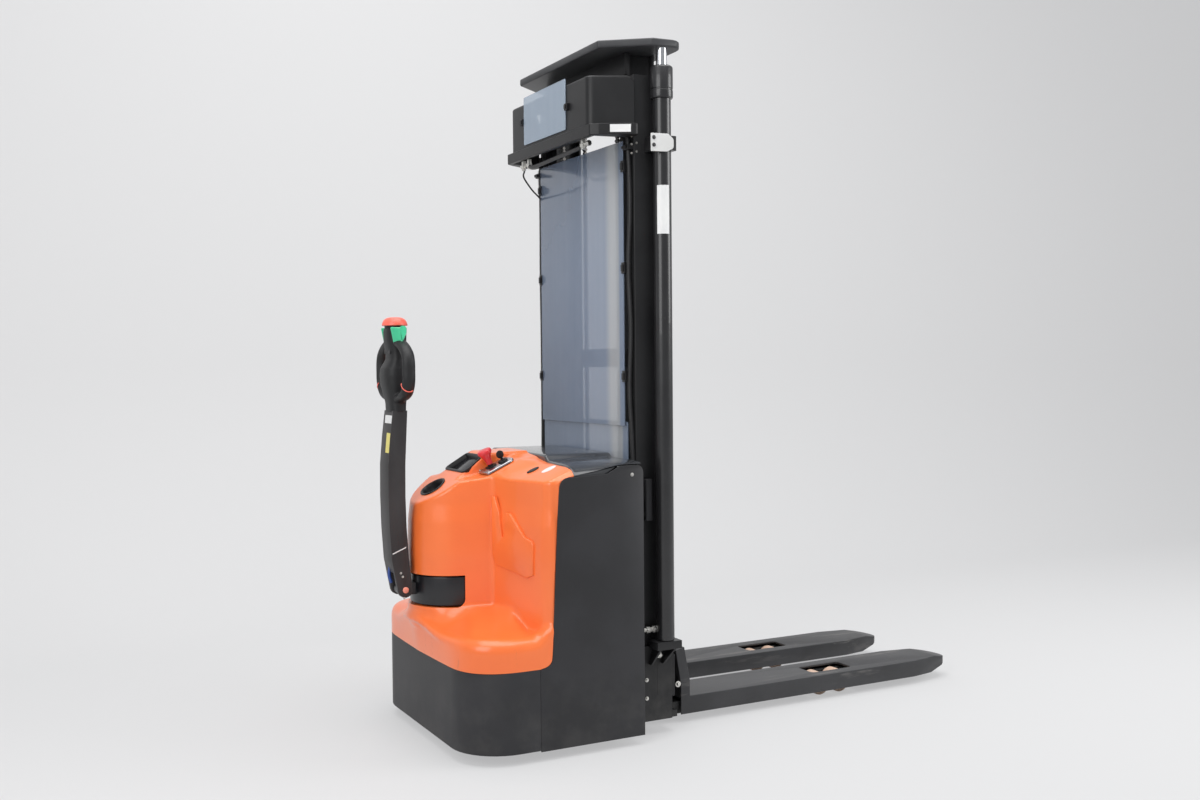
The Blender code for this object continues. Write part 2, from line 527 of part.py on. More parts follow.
def make_tiller_head():
    front, rear = HEAD_X - HEAD_DEPTH / 2, HEAD_X + HEAD_DEPTH / 2
    half = [
        (0.040, ARM_TOP),
        *arc(HEAD_HALF_WIDTH - 0.045, ARM_TOP + 0.085, 0.045, -60, 0, 4),
        *arc(HEAD_HALF_WIDTH - 0.050, GRIP_HIGH - 0.015, 0.050, 0, 80, 5),
        (0.044, 1.262),
        (0.040, HEAD_TOP),
    ]
    outline = half + [(-y, z) for y, z in reversed(half)]
    head = prism("tiller_head", outline, "X", front, rear)
    for side, sign in SIDES.items():
        inner, outer = GRIP_IN, HEAD_HALF_WIDTH - GRIP_WALL
        round_end = min(0.024, (outer - inner) / 2 - 0.001)
        grip = arc(inner + round_end, GRIP_LOW + round_end, round_end, 180, 270, 3)
        grip += arc(outer - round_end, GRIP_LOW + round_end, round_end, -90, 0, 3)
        grip += arc(outer - round_end, GRIP_HIGH - round_end, round_end, 0, 90, 3)
        grip += arc(inner + round_end, GRIP_HIGH - round_end, round_end, 90, 180, 3)
        cut(head, prism(f"grip_hole_{side}", [(sign * y, z) for y, z in grip], "X", front - 0.1, rear + 0.1))
    cut(head, rod("throttle_bore", (HEAD_X, -0.1, THROTTLE_Z), (HEAD_X, 0.1, THROTTLE_Z), 0.0090 + RUNNING, 16))
    cut(head, rod("belly_bore", (HEAD_X, 0, HEAD_TOP - 0.012), (HEAD_X, 0, HEAD_TOP + 0.1), 0.0095, 16))
    for name, (y, z) in BUTTONS.items():
        cut(head, rod(f"{name}_bore", (front - 0.1, y, z), (front + 0.008, y, z), BUTTON_RADIUS + RUNNING))
    finish(head, "black_plastic")

    throttle = rod("throttle", (HEAD_X, -0.052, THROTTLE_Z), (HEAD_X, 0.052, THROTTLE_Z), 0.0090, 16)
    for side, sign in SIDES.items():
        ys = sorted((sign * 0.0448, sign * 0.082))
        wing_low, wing_top = THROTTLE_Z - 0.014, THROTTLE_Z + 0.028
        wing = [(HEAD_X - 0.011, wing_low), (HEAD_X + 0.011, wing_low), (HEAD_X + 0.004, wing_top), (HEAD_X - 0.010, wing_top)]
        join(throttle, prism(f"throttle_wing_{side}", wing, "Y", *ys))
    finish(throttle, "green_plastic", pivot=(HEAD_X, 0, THROTTLE_Z))

    belly_low = HEAD_TOP + 0.007
    cap = [(x, y * 1.15) for x, y in mirrored(arc(HEAD_X, 0, 0.030, 180, 0, 8))]
    belly = prism("belly_button", cap, "Z", belly_low, belly_low + 0.026)
    stem = rod("belly_stem", (HEAD_X, 0, HEAD_TOP - 0.003), (HEAD_X, 0, belly_low + 0.005), 0.0080, 16)
    finish(join(belly, stem), "red_plastic", pivot=(HEAD_X, 0, belly_low))

    for name, (y, z) in BUTTONS.items():
        button = rod(name, (front - BUTTON_PROUD, y, z), (front + 0.004, y, z), BUTTON_RADIUS, 16)
        finish(button, "black_plastic", pivot=(front, y, z), smooth=True)


# Outer mast: two channels, the head and foot that join them, cylinders and covers
def make_outer_mast():
    front, rear = MAST_FRONT_X, MAST_REAR_X
    for side, sign in SIDES.items():
        section = [
            (front, OUTER_WEB_Y), (rear, OUTER_WEB_Y), (rear, OUTER_FLANGE_Y), (rear - FLANGE, OUTER_FLANGE_Y),
            (rear - FLANGE, OUTER_WEB_Y - WEB), (front + FLANGE, OUTER_WEB_Y - WEB), (front + FLANGE, OUTER_FLANGE_Y),
            (front, OUTER_FLANGE_Y),
        ]
        finish(prism(f"mast_channel_{side}", [(x, sign * y) for x, y in section], "Z", MAST_LOW, OUTER_TOP), "mast_paint")
    head_half = OUTER_WEB_Y - 0.017
    head = box("mast_head", (-0.018, -head_half, OUTER_TOP - 0.150), (front - GAP, head_half, OUTER_TOP - 0.050))
    finish(head, "mast_paint")

    out = OUTER_WEB_Y + GAP
    foot = box("mast_foot", (GAP, -out - 0.012, 0.046), (front - GAP, out + 0.012, 0.500))
    leg_in, leg_out = FORK_Y - LEG_WIDTH / 2 - GAP, FORK_Y + LEG_WIDTH / 2 + GAP
    cup_out = CYLINDER_Y + CYLINDER_RADIUS + 0.001
    pieces = {
        "strap": ((0.004, out, 0.048), (rear, out + 0.011, 0.289)),
        "cup": ((0.055, out, 0.285), (rear + 0.004, cup_out, CYLINDER_LOW - GAP)),
        "gusset": ((0.085, out + 0.004, 0.130), (rear - 0.002, cup_out - 0.0167, 0.292)),
        "sole": ((0.006, leg_out, 0.050), (rear + 0.02, out + 0.008, LEG_TOP)),
        "leg_room": ((-0.1, leg_in, 0.0), (MAST_FRONT_X + 0.01, leg_out, LEG_TOP + GAP)),
    }
    for side, sign in SIDES.items():
        for name, ((x0, y0, z0), (x1, y1, z1)) in pieces.items():
            y0, y1 = sorted((sign * y0, sign * y1))
            piece = box(f"foot_{name}_{side}", (x0, y0, z0), (x1, y1, z1))
            combine(foot, [piece], "DIFFERENCE" if name == "leg_room" else "UNION")
    finish(foot, "mast_paint")


def make_cylinders():
    for side, sign in SIDES.items():
        x, y = CYLINDER_X, sign * CYLINDER_Y
        tube = rod(f"lift_cylinder_{side}", (x, y, CYLINDER_LOW), (x, y, CYLINDER_TOP - 0.01), CYLINDER_RADIUS)
        collar_radius = CYLINDER_RADIUS + COLLAR_WALL
        collar = rod(f"cylinder_collar_{side}", (x, y, CYLINDER_TOP - COLLAR_HEIGHT), (x, y, CYLINDER_TOP), collar_radius)
        ys = sorted((sign * (OUTER_WEB_Y + GAP), sign * (CYLINDER_Y + CYLINDER_RADIUS + 0.004)))
        clamp_top = GUARD_TOP + 0.010
        clamp_low, clamp_high = (x - 0.050, ys[0], clamp_top - CLAMP_HEIGHT), (x + collar_radius, ys[1], clamp_top)
        clamp = box(f"cylinder_clamp_{side}", clamp_low, clamp_high)
        bore = rod(f"cylinder_bore_{side}", (x, y, CYLINDER_LOW + 0.09), (x, y, CYLINDER_TOP + 0.1), BORE_RADIUS)
        finish(cut(join(tube, collar, clamp), bore), "mast_paint", smooth=True)
        rod_low = CYLINDER_LOW + 0.10
        piston = rod(f"lift_rod_{side}", (x, y, rod_low), (x, y, TOP_PLATE_Z - GAP), ROD_RADIUS)
        finish(piston, "bright_steel", pivot=(x, y, rod_low), smooth=True)


def shroud_outline(inset, reach):
    """Shroud in plan: its sides widen towards the mast, as far as reach beyond the front face."""
    rear_half = SHROUD_HALF + reach * SHROUD_FLARE - inset
    return mirrored([(SHROUD_X + inset, SHROUD_HALF - inset * 0.6), (SHROUD_X + reach, rear_half)])


def make_shroud():
    rear_x = MAST_FRONT_X - 0.002
    shroud = prism("mast_shroud", shroud_outline(0, rear_x - SHROUD_X), "Z", SHROUD_LOW - 0.001, SHROUD_TOP)
    inside = prism("shroud_inside", shroud_outline(SHROUD_WALL, 0.300), "Z", SHROUD_LOW - 0.1, SHROUD_TOP - SHROUD_WALL)
    cut(shroud, inside)
    nose = [(SHROUD_X - 0.007, SHROUD_HALF + 0.022), (SHROUD_X + 0.016, SHROUD_HALF + 0.041)]
    flange = mirrored([*nose, (rear_x, SHROUD_HALF + 0.104)])
    ledge = prism("shroud_ledge", flange, "Z", SHROUD_LOW - LEDGE_DROP, SHROUD_LOW)
    ledge_room = mirrored([(SHROUD_X + 0.008, SHROUD_HALF + 0.010), (MAST_FRONT_X + 0.1, SHROUD_HALF + 0.049)])
    cut(ledge, prism("shroud_ledge_room", ledge_room, "Z", SHROUD_LOW - 0.1, SHROUD_LOW + 0.1))
    finish(join(shroud, ledge), "mast_paint")


def make_guards():
    guard = box("guard_panel", (GUARD_X, -GUARD_HALF, GUARD_LOW), (GUARD_X + GUARD_WALL, GUARD_HALF, GUARD_TOP))
    finish(guard, "clear_guard")
    lower = box("lower_guard", (0.009, -0.310, LID_TOP - 0.03), (0.009 + GUARD_WALL, 0.310, 0.981))
    finish(lower, "clear_guard")


# Inner mast with its top plate, chain pulleys and chains
def make_inner_mast():
    front, rear = INNER_FRONT_X, INNER_FRONT_X + INNER_DEPTH
    flange = FLANGE
    top = TOP_PLATE_Z - GAP
    tie_x, tie_end = front - TIE_SETBACK, front - TIE_SETBACK + TIE_DEPTH
    mast = box("inner_mast", (tie_x, -INNER_OUT_Y, OUTER_TOP + 0.010), (tie_end, INNER_OUT_Y, top))
    for side, sign in SIDES.items():
        section = [
            (front, INNER_OUT_Y), (front + flange, INNER_OUT_Y), (front + flange, INNER_WEB_Y),
            (rear - flange, INNER_WEB_Y), (rear - flange, INNER_OUT_Y), (rear, INNER_OUT_Y), (rear, INNER_IN_Y),
            (rear - flange, INNER_IN_Y), (rear - flange, INNER_WEB_Y - WEB), (front + flange, INNER_WEB_Y - WEB),
            (front + flange, INNER_IN_Y), (front, INNER_IN_Y),
        ]
        join(mast, prism(f"inner_rail_{side}", [(x, sign * y) for x, y in section], "Z", INNER_LOW, top))
        ys = sorted((sign * (INNER_WEB_Y - 0.002), sign * (OUTER_WEB_Y - WEB - 0.004)))
        stub_ends = [(MAST_ROLLER_X, y, MAST_ROLLER_Z) for y in ys]
        join(mast, rod(f"inner_stub_{side}", *stub_ends, GUIDE_PIN, 16))
    for i, (tie_low, tie_top) in enumerate(TIES):
        join(mast, box(f"inner_tie_{i}", (tie_x, -INNER_OUT_Y, tie_low), (tie_end, INNER_OUT_Y, tie_top)))
    axle_half = INNER_WEB_Y - 0.002
    join(mast, rod("pulley_axle", (PULLEY_X, -axle_half, PULLEY_Z), (PULLEY_X, axle_half, PULLEY_Z), 0.010, 16))
    finish(mast, "mast_paint")

    for side, sign in SIDES.items():
        y = sign * PULLEY_Y
        pulley_ends = [(PULLEY_X, y + end * PULLEY_WIDTH / 2, PULLEY_Z) for end in (-1, 1)]
        pulley = rod(f"chain_pulley_{side}", *pulley_ends, PULLEY_RADIUS)
        bore = rod(f"pulley_bore_{side}", (PULLEY_X, y - 0.05, PULLEY_Z), (PULLEY_X, y + 0.05, PULLEY_Z), 0.010 + RUNNING, 16)
        finish(cut(pulley, bore), "chain_steel", pivot=(PULLEY_X, y, PULLEY_Z), smooth=True)
        roller_ys = (sign * (INNER_WEB_Y + 0.026), sign * (OUTER_WEB_Y - WEB - 0.005))
        make_guide_roller(f"mast_roller_{side}", MAST_ROLLER_X, roller_ys, MAST_ROLLER_Z, MAST_ROLLER_RADIUS)

        half, reach = CHAIN_WIDTH / 2, PULLEY_RADIUS + 0.001
        hold_front, hold_low = PULLEY_X - reach - CHAIN_THICK, CARRIAGE_TOP - 0.140
        hold = box(f"chain_hold_{side}", (hold_front, y - half, hold_low), (PULLEY_X - reach, y + half, PULLEY_Z))
        finish(hold, "chain_steel")
        lift_low, lift_rear = CARRIAGE_TOP + GAP, PULLEY_X + reach + CHAIN_THICK
        lift = box(f"chain_lift_{side}", (PULLEY_X + reach, y - half, lift_low), (lift_rear, y + half, PULLEY_Z))
        finish(lift, "chain_steel")


def make_guide_roller(name, x, ys, z, radius):
    low, high = sorted(ys)
    roller = rod(name, (x, low, z), (x, high, z), radius)
    bore = rod(f"{name}_bore", (x, low - 0.01, z), (x, high + 0.01, z), GUIDE_PIN + RUNNING, 16)
    finish(cut(roller, bore), "chain_steel", pivot=(x, (low + high) / 2, z), smooth=True)


def make_top_plate():
    rounding = 0.045
    half = [(-0.081, 0.297), (0.060, CYLINDER_Y + 0.022)]
    half += arc(MAST_REAR_X - 0.015, CYLINDER_Y - 0.018, rounding, 80, 0, 4) + [(MAST_REAR_X + 0.032, 0.200)]
    finish(prism("top_plate", mirrored(half), "Z", TOP_PLATE_Z, TOP_PLATE_Z + TOP_PLATE), "mast_paint")


# Carriage and forks
def make_carriage():
    cross_front, cross_rear = MAST_REAR_X + 0.030, HEEL_X - 0.037
    carriage = box("carriage", (cross_front, -FORK_SPREAD / 2, 0.096), (cross_rear - 0.021, FORK_SPREAD / 2, 0.235))
    for side, sign in SIDES.items():
        plate = [
            (INNER_FRONT_X + 0.016, 0.110), (cross_rear - 0.022, 0.110), (cross_rear - 0.022, 0.300),
            (INNER_FRONT_X + INNER_DEPTH + 0.02, CARRIAGE_TOP), (INNER_FRONT_X + 0.016, CARRIAGE_TOP),
        ]
        ys = sorted((sign * (CARRIAGE_PLATE_Y - 0.012), sign * CARRIAGE_PLATE_Y))
        join(carriage, prism(f"carriage_plate_{side}", plate, "Y", *ys))
        stub = sorted((sign * (CARRIAGE_PLATE_Y - 0.004), sign * (INNER_WEB_Y - WEB - 0.002)))
        stub_ends = [(CARRIAGE_ROLLER_X, y, CARRIAGE_ROLLER_Z) for y in stub]
        join(carriage, rod(f"carriage_stub_{side}", *stub_ends, GUIDE_PIN, 16))
        roller_ys = (sign * (CARRIAGE_PLATE_Y + 0.003), sign * (INNER_WEB_Y - WEB - 0.003))
        make_guide_roller(f"carriage_roller_{side}", CARRIAGE_ROLLER_X, roller_ys, CARRIAGE_ROLLER_Z, CARRIAGE_ROLLER_RADIUS)
    plate_in = CARRIAGE_PLATE_Y - 0.004
    bar_front, bar_rear = INNER_FRONT_X + 0.03, INNER_FRONT_X + INNER_DEPTH
    bar_low, bar_high = (bar_front, -plate_in, CARRIAGE_TOP - 0.06), (bar_rear + 0.01, plate_in, CARRIAGE_TOP)
    join(carriage, box("carriage_top_bar", bar_low, bar_high))
    join(carriage, box("carriage_low_bar", (bar_front, -plate_in, 0.120), (bar_rear, plate_in, 0.180)))
    finish(carriage, "mast_paint")


def fork_plan():
    """Fork in plan about its own centre line, narrowing to a rounded tip."""
    half, nose = FORK_WIDTH / 2, 0.070
    return mirrored([(0.1, half), (TIP_X - 0.195, half), *arc(TIP_X - nose, 0.0, nose, 62, 0, 5)])


def make_forks():
    back = HEEL_X - 0.035
    profile = [
        (back, FORK_LOW), (back, 0.129), (back - 0.020, 0.245), (back + 0.014, 0.253), (HEEL_X, 0.142), (HEEL_X, FORK_TOP),
        (TIP_X - 0.080, FORK_TOP), (TIP_X, FORK_TOP - 0.014), (TIP_X, FORK_TOP - 0.030), (TIP_X - 0.100, FORK_LOW),
    ]
    for side, sign in SIDES.items():
        y = sign * FORK_Y
        fork = prism(f"fork_{side}", profile, "Y", y - FORK_WIDTH / 2, y + FORK_WIDTH / 2)
        plan = prism(f"fork_plan_{side}", [(x, y + w) for x, w in fork_plan()], "Z", -0.1, 0.4)
        combine(fork, [plan], "INTERSECT")
        inner = FORK_WIDTH / 2 - FORK_SIDE
        channel_low, channel_high = (back - 0.1, y - inner, -0.1), (TIP_X - 0.230, y + inner, FORK_TOP - FORK_SKIN)
        channel = box(f"fork_channel_{side}", channel_low, channel_high)
        corner = WINDOW_CORNER
        reach, across = WINDOW_LENGTH / 2 - corner, WINDOW_WIDTH / 2 - corner
        window = arc(BOGIE_X - reach, across, corner, 180, 90, 3) + arc(BOGIE_X + reach, across, corner, 90, 0, 3)
        window = mirrored(window)
        opening = prism(f"fork_window_{side}", [(x, y + w) for x, w in window], "Z", 0.05, 0.2)
        finish(cut(fork, channel, opening), "fork_paint")


# Support legs under the forks, with tandem load rollers on rocking bogies
def make_legs():
    axle_z = ROLLER_RADIUS
    for side, sign in SIDES.items():
        y = sign * FORK_Y
        start = GAP
        leg = box(f"support_leg_{side}", (start, y - LEG_WIDTH / 2, LEG_LOW), (LEG_END_X, y + LEG_WIDTH / 2, LEG_TOP))
        inner = ROLLER_WIDTH / 2 + 0.009
        room_half = BOGIE_HALF + ROLLER_RADIUS + 0.012
        room = box(f"leg_room_{side}", (BOGIE_X - room_half, y - inner, -0.1), (BOGIE_X + room_half, y + inner, 0.2))
        hole_ends = [(BOGIE_X, y + end * (inner + 0.020), axle_z + PIN_RISE) for end in (-1, 1)]
        pin_hole = rod(f"leg_pin_hole_{side}", *hole_ends, BOGIE_PIN + RUNNING, 16)
        finish(cut(leg, room, pin_hole), "mast_paint")

        cheek_in, cheek_out = ROLLER_WIDTH / 2 + 0.0015, inner - 0.0015
        bogie = None
        for end in (-1, 1):
            ys = sorted((y + end * cheek_in, y + end * cheek_out))
            low, high = axle_z - 0.013, axle_z + 0.017
            outline = arc(BOGIE_X - BOGIE_HALF, axle_z + 0.001, 0.014, 270, 90, 4) + [(BOGIE_X, high)]
            outline += arc(BOGIE_X + BOGIE_HALF, axle_z + 0.001, 0.014, 90, -90, 4) + [(BOGIE_X, low)]
            name = f"bogie_{side}" if bogie is None else f"bogie_cheek_{side}"
            cheek = prism(name, outline, "Y", *ys)
            bogie = cheek if bogie is None else join(bogie, cheek)
        for i, x in enumerate((BOGIE_X - BOGIE_HALF, BOGIE_X + BOGIE_HALF)):
            axle_ends = [(x, y + end * (cheek_out - 0.001), axle_z) for end in (-1, 1)]
            join(bogie, rod(f"bogie_axle_{side}_{i}", *axle_ends, ROLLER_AXLE, 16))
        pin_half = inner + 0.018
        for end in (-1, 1):
            ys = sorted((y + end * cheek_in, y + end * pin_half))
            pin_ends = [(BOGIE_X, pin_y, axle_z + PIN_RISE) for pin_y in ys]
            join(bogie, rod(f"bogie_pin_{side}_{end}", *pin_ends, BOGIE_PIN, 16))
        finish(bogie, "chain_steel", pivot=(BOGIE_X, y, axle_z + PIN_RISE))
        half = ROLLER_WIDTH / 2
        for place, x in (("rear", BOGIE_X - BOGIE_HALF), ("tip", BOGIE_X + BOGIE_HALF)):
            name = f"load_roller_{place}_{side}"
            roller = rod(name, (x, y - half, axle_z), (x, y + half, axle_z), ROLLER_RADIUS)
            bore = rod(f"{name}_bore", (x, y - half - 0.01, axle_z), (x, y + half + 0.01, axle_z), ROLLER_AXLE + RUNNING, 16)
            finish(cut(roller, bore), "load_roller", pivot=(x, y, axle_z), smooth=True)


make_base_frame()
make_skirt()
make_side_panels()
make_front_cover()
make_battery()
make_power_unit()
make_battery_lid()
make_dash()
make_drive()
make_casters()
make_tiller_base()
make_tiller_arm()
make_tiller_head()
make_outer_mast()
make_cylinders()
make_shroud()
make_guards()
make_inner_mast()
make_top_plate()
make_carriage()
make_forks()
make_legs()
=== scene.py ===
"""Looks of a walkie stacker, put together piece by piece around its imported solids.

Metres, +Z up, +X towards the fork tips, +Y to the operator's left.
"""

import json
import math

import bmesh
import bpy
from mathutils import Matrix, Vector
from mathutils.bvhtree import BVHTree

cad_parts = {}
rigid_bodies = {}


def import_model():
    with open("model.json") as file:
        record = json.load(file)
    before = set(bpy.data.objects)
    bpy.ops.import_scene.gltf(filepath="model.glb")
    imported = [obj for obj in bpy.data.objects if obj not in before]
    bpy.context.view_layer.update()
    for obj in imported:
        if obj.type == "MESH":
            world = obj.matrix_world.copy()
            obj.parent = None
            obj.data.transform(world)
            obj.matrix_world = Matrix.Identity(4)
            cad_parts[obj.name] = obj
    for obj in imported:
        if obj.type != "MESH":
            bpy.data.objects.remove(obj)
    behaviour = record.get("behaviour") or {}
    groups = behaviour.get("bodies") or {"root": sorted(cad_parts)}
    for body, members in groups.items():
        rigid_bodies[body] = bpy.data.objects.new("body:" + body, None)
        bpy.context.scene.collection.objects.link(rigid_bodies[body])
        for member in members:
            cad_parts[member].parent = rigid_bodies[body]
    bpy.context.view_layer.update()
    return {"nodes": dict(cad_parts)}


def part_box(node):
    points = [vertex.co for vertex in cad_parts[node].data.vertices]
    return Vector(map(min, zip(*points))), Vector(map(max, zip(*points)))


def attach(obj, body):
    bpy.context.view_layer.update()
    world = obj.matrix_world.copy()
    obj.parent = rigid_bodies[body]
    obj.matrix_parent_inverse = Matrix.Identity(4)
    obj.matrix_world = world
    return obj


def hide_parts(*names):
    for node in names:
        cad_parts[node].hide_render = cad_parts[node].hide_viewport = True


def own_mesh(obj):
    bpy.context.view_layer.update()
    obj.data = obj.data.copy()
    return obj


for leftover in list(bpy.data.objects):
    bpy.data.objects.remove(leftover)

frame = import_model()
# Lengths along the truck are measured from the operator's face of the mast guard.
MAST_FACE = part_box("guard_panel")[0].x
scene = bpy.context.scene
scene.view_settings.view_transform = "Standard"


# ---- Camera -----------------------------------------------------------------------------------
# A plain lens at chest height, off the operator's right shoulder, with the whole machine in view.
eye = Vector((-1.906 + MAST_FACE, -3.757, 1.190))
yaw, pitch, roll = 0.485, -0.029, -0.0088
ahead = Vector((math.sin(yaw) * math.cos(pitch), math.cos(yaw) * math.cos(pitch), math.sin(pitch)))
level = Vector((math.cos(yaw), -math.sin(yaw), 0))
upright = level.cross(ahead)
lens_right = math.cos(roll) * level + math.sin(roll) * upright
lens_up = -math.sin(roll) * level + math.cos(roll) * upright
lens = bpy.data.cameras.new("lens")
lens.lens, lens.sensor_width = 37.15, 36.0
camera = bpy.data.objects.new("camera", lens)
scene.collection.objects.link(camera)
camera.matrix_world = Matrix.Translation(eye) @ Matrix((lens_right, lens_up, -ahead)).transposed().to_4x4()
scene.camera = camera


# ---- Studio -----------------------------------------------------------------------------------
# A pale seamless floor that curves up behind the truck, with wide soft lamps overhead and to each side.
class Wire:
    """A socket of a node tree. Arithmetic on it adds Math nodes, and node() adds any other node."""

    def __init__(self, tree, socket=None):
        self.tree, self.socket = tree, socket

    def node(self, kind, settings, sockets, output=0):
        made = self.tree.nodes.new(kind if kind.startswith(("Geometry", "Function")) else "ShaderNode" + kind)
        stops = settings.pop("stops", None)
        for name, value in settings.items():
            setattr(made, name, value)
        if stops:
            ramp = made.color_ramp
            while len(ramp.elements) < len(stops):
                ramp.elements.new(0.5)
            for element, (place, colour) in zip(ramp.elements, stops):
                element.position, element.color = place, (*colour, 1.0)
        for name, value in sockets.items():
            if isinstance(value, (Wire, list)):
                for wire in value if isinstance(value, list) else [value]:
                    self.tree.links.new(wire.socket, made.inputs[name])
            else:
                made.inputs[name].default_value = value
        return Wire(self.tree, made.outputs[output])

    def math(self, operation, first, second=0.5):
        return self.node("Math", {"operation": operation}, {0: first, 1: second})

    def __add__(self, other):
        return self.math("ADD", self, other)

    __radd__ = __add__

    def __mul__(self, other):
        return self.math("MULTIPLY", self, other)

    __rmul__ = __mul__

    def __sub__(self, other):
        return self.math("SUBTRACT", self, other)

    def __rsub__(self, other):
        return self.math("SUBTRACT", other, self)

    def band(self, low, high):
        """0 below low, 1 above high, and a smooth rise between them."""
        return self.node("MapRange", {"interpolation_type": "SMOOTHSTEP"}, {"Value": self, "From Min": low, "From Max": high})

    def mixed(self, low, high):
        """The colour between two colours at this share."""
        return self.node("Mix", {"data_type": "RGBA"}, {0: self, 6: (*low, 1.0) if not isinstance(low, Wire) else low, 7: (*high, 1.0) if not isinstance(high, Wire) else high}, 2)


def backdrop_finish(name, shade, seen):
    material = bpy.data.materials.new(name)
    material.use_nodes = True
    tree = material.node_tree
    tree.nodes.clear()
    start = Wire(tree)
    path = tree.nodes.new("ShaderNodeLightPath")
    rays = [Wire(tree, path.outputs[ray]) for ray in ("Is Camera Ray", "Is Glossy Ray", "Is Transmission Ray")]
    direct = start.math("MAXIMUM", rays[0], start.math("MAXIMUM", rays[1], rays[2]))
    matte = start.node("BsdfDiffuse", {}, {"Color": (shade, shade, shade, 1.0)})
    glow = start.node("Emission", {}, {"Color": (*seen, 1.0), "Strength": 1.0})
    mixed = start.node("MixShader", {}, {0: direct * 0.55, 1: matte, 2: glow})
    tree.links.new(mixed.socket, tree.nodes.new("ShaderNodeOutputMaterial").inputs["Surface"])
    return material


def sweep():
    """Floor and wall in one sheet: flat, then a wide bend, then upright."""
    rise, bend = 4.2, 1.2
    line = [(-9.0, 0.0)] + [(1.6, 0.0)]
    line += [(1.6 + bend * math.sin(a), bend - bend * math.cos(a)) for a in (math.pi / 2 * i / 12 for i in range(1, 13))]
    line += [(1.6 + bend, rise)]
    bm = bmesh.new()
    rows = [[bm.verts.new((x, y, z)) for y, z in line] for x in (-8.0, 9.0)]
    for i in range(len(line) - 1):
        bm.faces.new((rows[0][i], rows[1][i], rows[1][i + 1], rows[0][i + 1]))
    mesh = bpy.data.meshes.new("sweep")
    bm.to_mesh(mesh)
    bm.free()
    mesh.shade_smooth()
    return bpy.data.objects.new("sweep", mesh)


floor = sweep()
scene.collection.objects.link(floor)
floor.data.materials.append(backdrop_finish("seamless_paper", 0.62, (0.80, 0.80, 0.81)))

world = bpy.data.worlds.new("studio")
world.use_nodes = True
scene.world = world
world.node_tree.nodes["Background"].inputs["Color"].default_value = (0.95, 0.97, 1.0, 1.0)
world.node_tree.nodes["Background"].inputs["Strength"].default_value = 0.42


def lamp(name, place, aim, size, watts):
    light = bpy.data.lights.new(name, "AREA")
    light.shape, light.size, light.size_y, light.energy = "RECTANGLE", *size, watts
    obj = bpy.data.objects.new(name, light)
    scene.collection.objects.link(obj)
    obj.location = place
    obj.rotation_euler = (Vector(aim) - Vector(place)).to_track_quat("-Z", "Y").to_euler()


lamp("overhead", (-0.4, -0.6, 4.6), (0, 0, 0.4), (4.5, 4.5), 190)
lamp("left_front", (-4.0, -2.2, 2.6), (-0.4, 0, 0.9), (2.6, 2.6), 70)
lamp("right_rear", (3.6, -2.6, 2.6), (0.2, 0, 1.0), (2.4, 2.4), 85)


# ---- Side panels and skirt ---------------------------------------------------------------------
# Pressed steel sheet in a fine dark powder coat, screwed to the frame along its rear edge.
def solid_finish(name, build):
    """A material on one Principled shader. build(start, shader) links its textures and sets its constants."""
    material = bpy.data.materials.new(name)
    material.use_nodes = True
    tree = material.node_tree
    build(Wire(tree), tree.nodes["Principled BSDF"].inputs)
    return material


def place_of(start):
    return start.node("TexCoord", {}, {}, 3)


def noise(start, scale, detail=3.0, roughness=0.55, stretch=None):
    where = place_of(start)
    if stretch:
        where = start.node("Mapping", {}, {"Vector": where, "Scale": stretch})
    return start.node("TexNoise", {}, {"Vector": where, "Scale": scale, "Detail": detail, "Roughness": roughness})


def feed(start, sockets, name, wire):
    start.tree.links.new(wire.socket, sockets[name])


def bumped(start, sockets, height, strength, distance):
    """Relief on the surface. height may be a sum of several textures."""
    bump = start.node("Bump", {}, {"Height": height, "Strength": strength, "Distance": distance})
    feed(start, sockets, "Normal", bump)


def coated(name, dark, light, rough, grain=900.0, relief=0.10, dust=0.0, dust_top=0.35, metallic=0.0, coat=0.0):
    """Sprayed or moulded finish: faint cloudiness, a fine grain, and dust that settles low down."""

    def build(start, sockets):
        cloud = noise(start, 5.0, 4.0)
        fine = noise(start, grain, 2.0)
        colour = cloud.band(0.35, 0.65).mixed(dark, light)
        if dust:
            height = start.node("SeparateXYZ", {}, {"Vector": place_of(start)}, 2)
            low = (1 - height.band(0.0, dust_top)) * noise(start, 14.0, 5.0).band(0.38, 0.72) * dust
            colour = low.mixed(colour, (0.30, 0.28, 0.26))
        feed(start, sockets, "Base Color", colour)
        feed(start, sockets, "Roughness", cloud * 0.10 + fine * 0.08 + (rough - 0.09))
        bumped(start, sockets, fine, relief, 0.0006)
        sockets["Metallic"].default_value = metallic
        sockets["Specular IOR Level"].default_value = 0.35
        sockets["Coat Weight"].default_value = coat
        sockets["Coat Roughness"].default_value = 0.12

    return solid_finish(name, build)


def eased(name, node, body, finish, width, segments=2, angle=32, slot=None, cutters=()):
    """A CAD solid with its edges eased as the real part's are: its copy is welded, cut, then bevelled."""
    bm = bmesh.new()
    bm.from_mesh(frame["nodes"][node].data)
    bmesh.ops.remove_doubles(bm, verts=bm.verts, dist=3e-5)
    bmesh.ops.dissolve_limit(bm, angle_limit=math.radians(1.0), verts=bm.verts, edges=bm.edges)
    mesh = bpy.data.meshes.new(name)
    bm.to_mesh(mesh)
    bm.free()
    mesh.shade_smooth()
    raw = bpy.data.objects.new(name + "_raw", mesh)
    scene.collection.objects.link(raw)
    for cutter in cutters:
        boolean(raw, cutter, "DIFFERENCE")
    bevel = raw.modifiers.new("edges", "BEVEL")
    bevel.width, bevel.segments, bevel.limit_method = width, segments, "ANGLE"
    bevel.angle_limit, bevel.harden_normals, bevel.use_clamp_overlap = math.radians(angle), True, True
    piece = taken(raw, name, body, finish, (node,), slot)
    for cutter in cutters:
        bpy.data.objects.remove(cutter)
    return piece


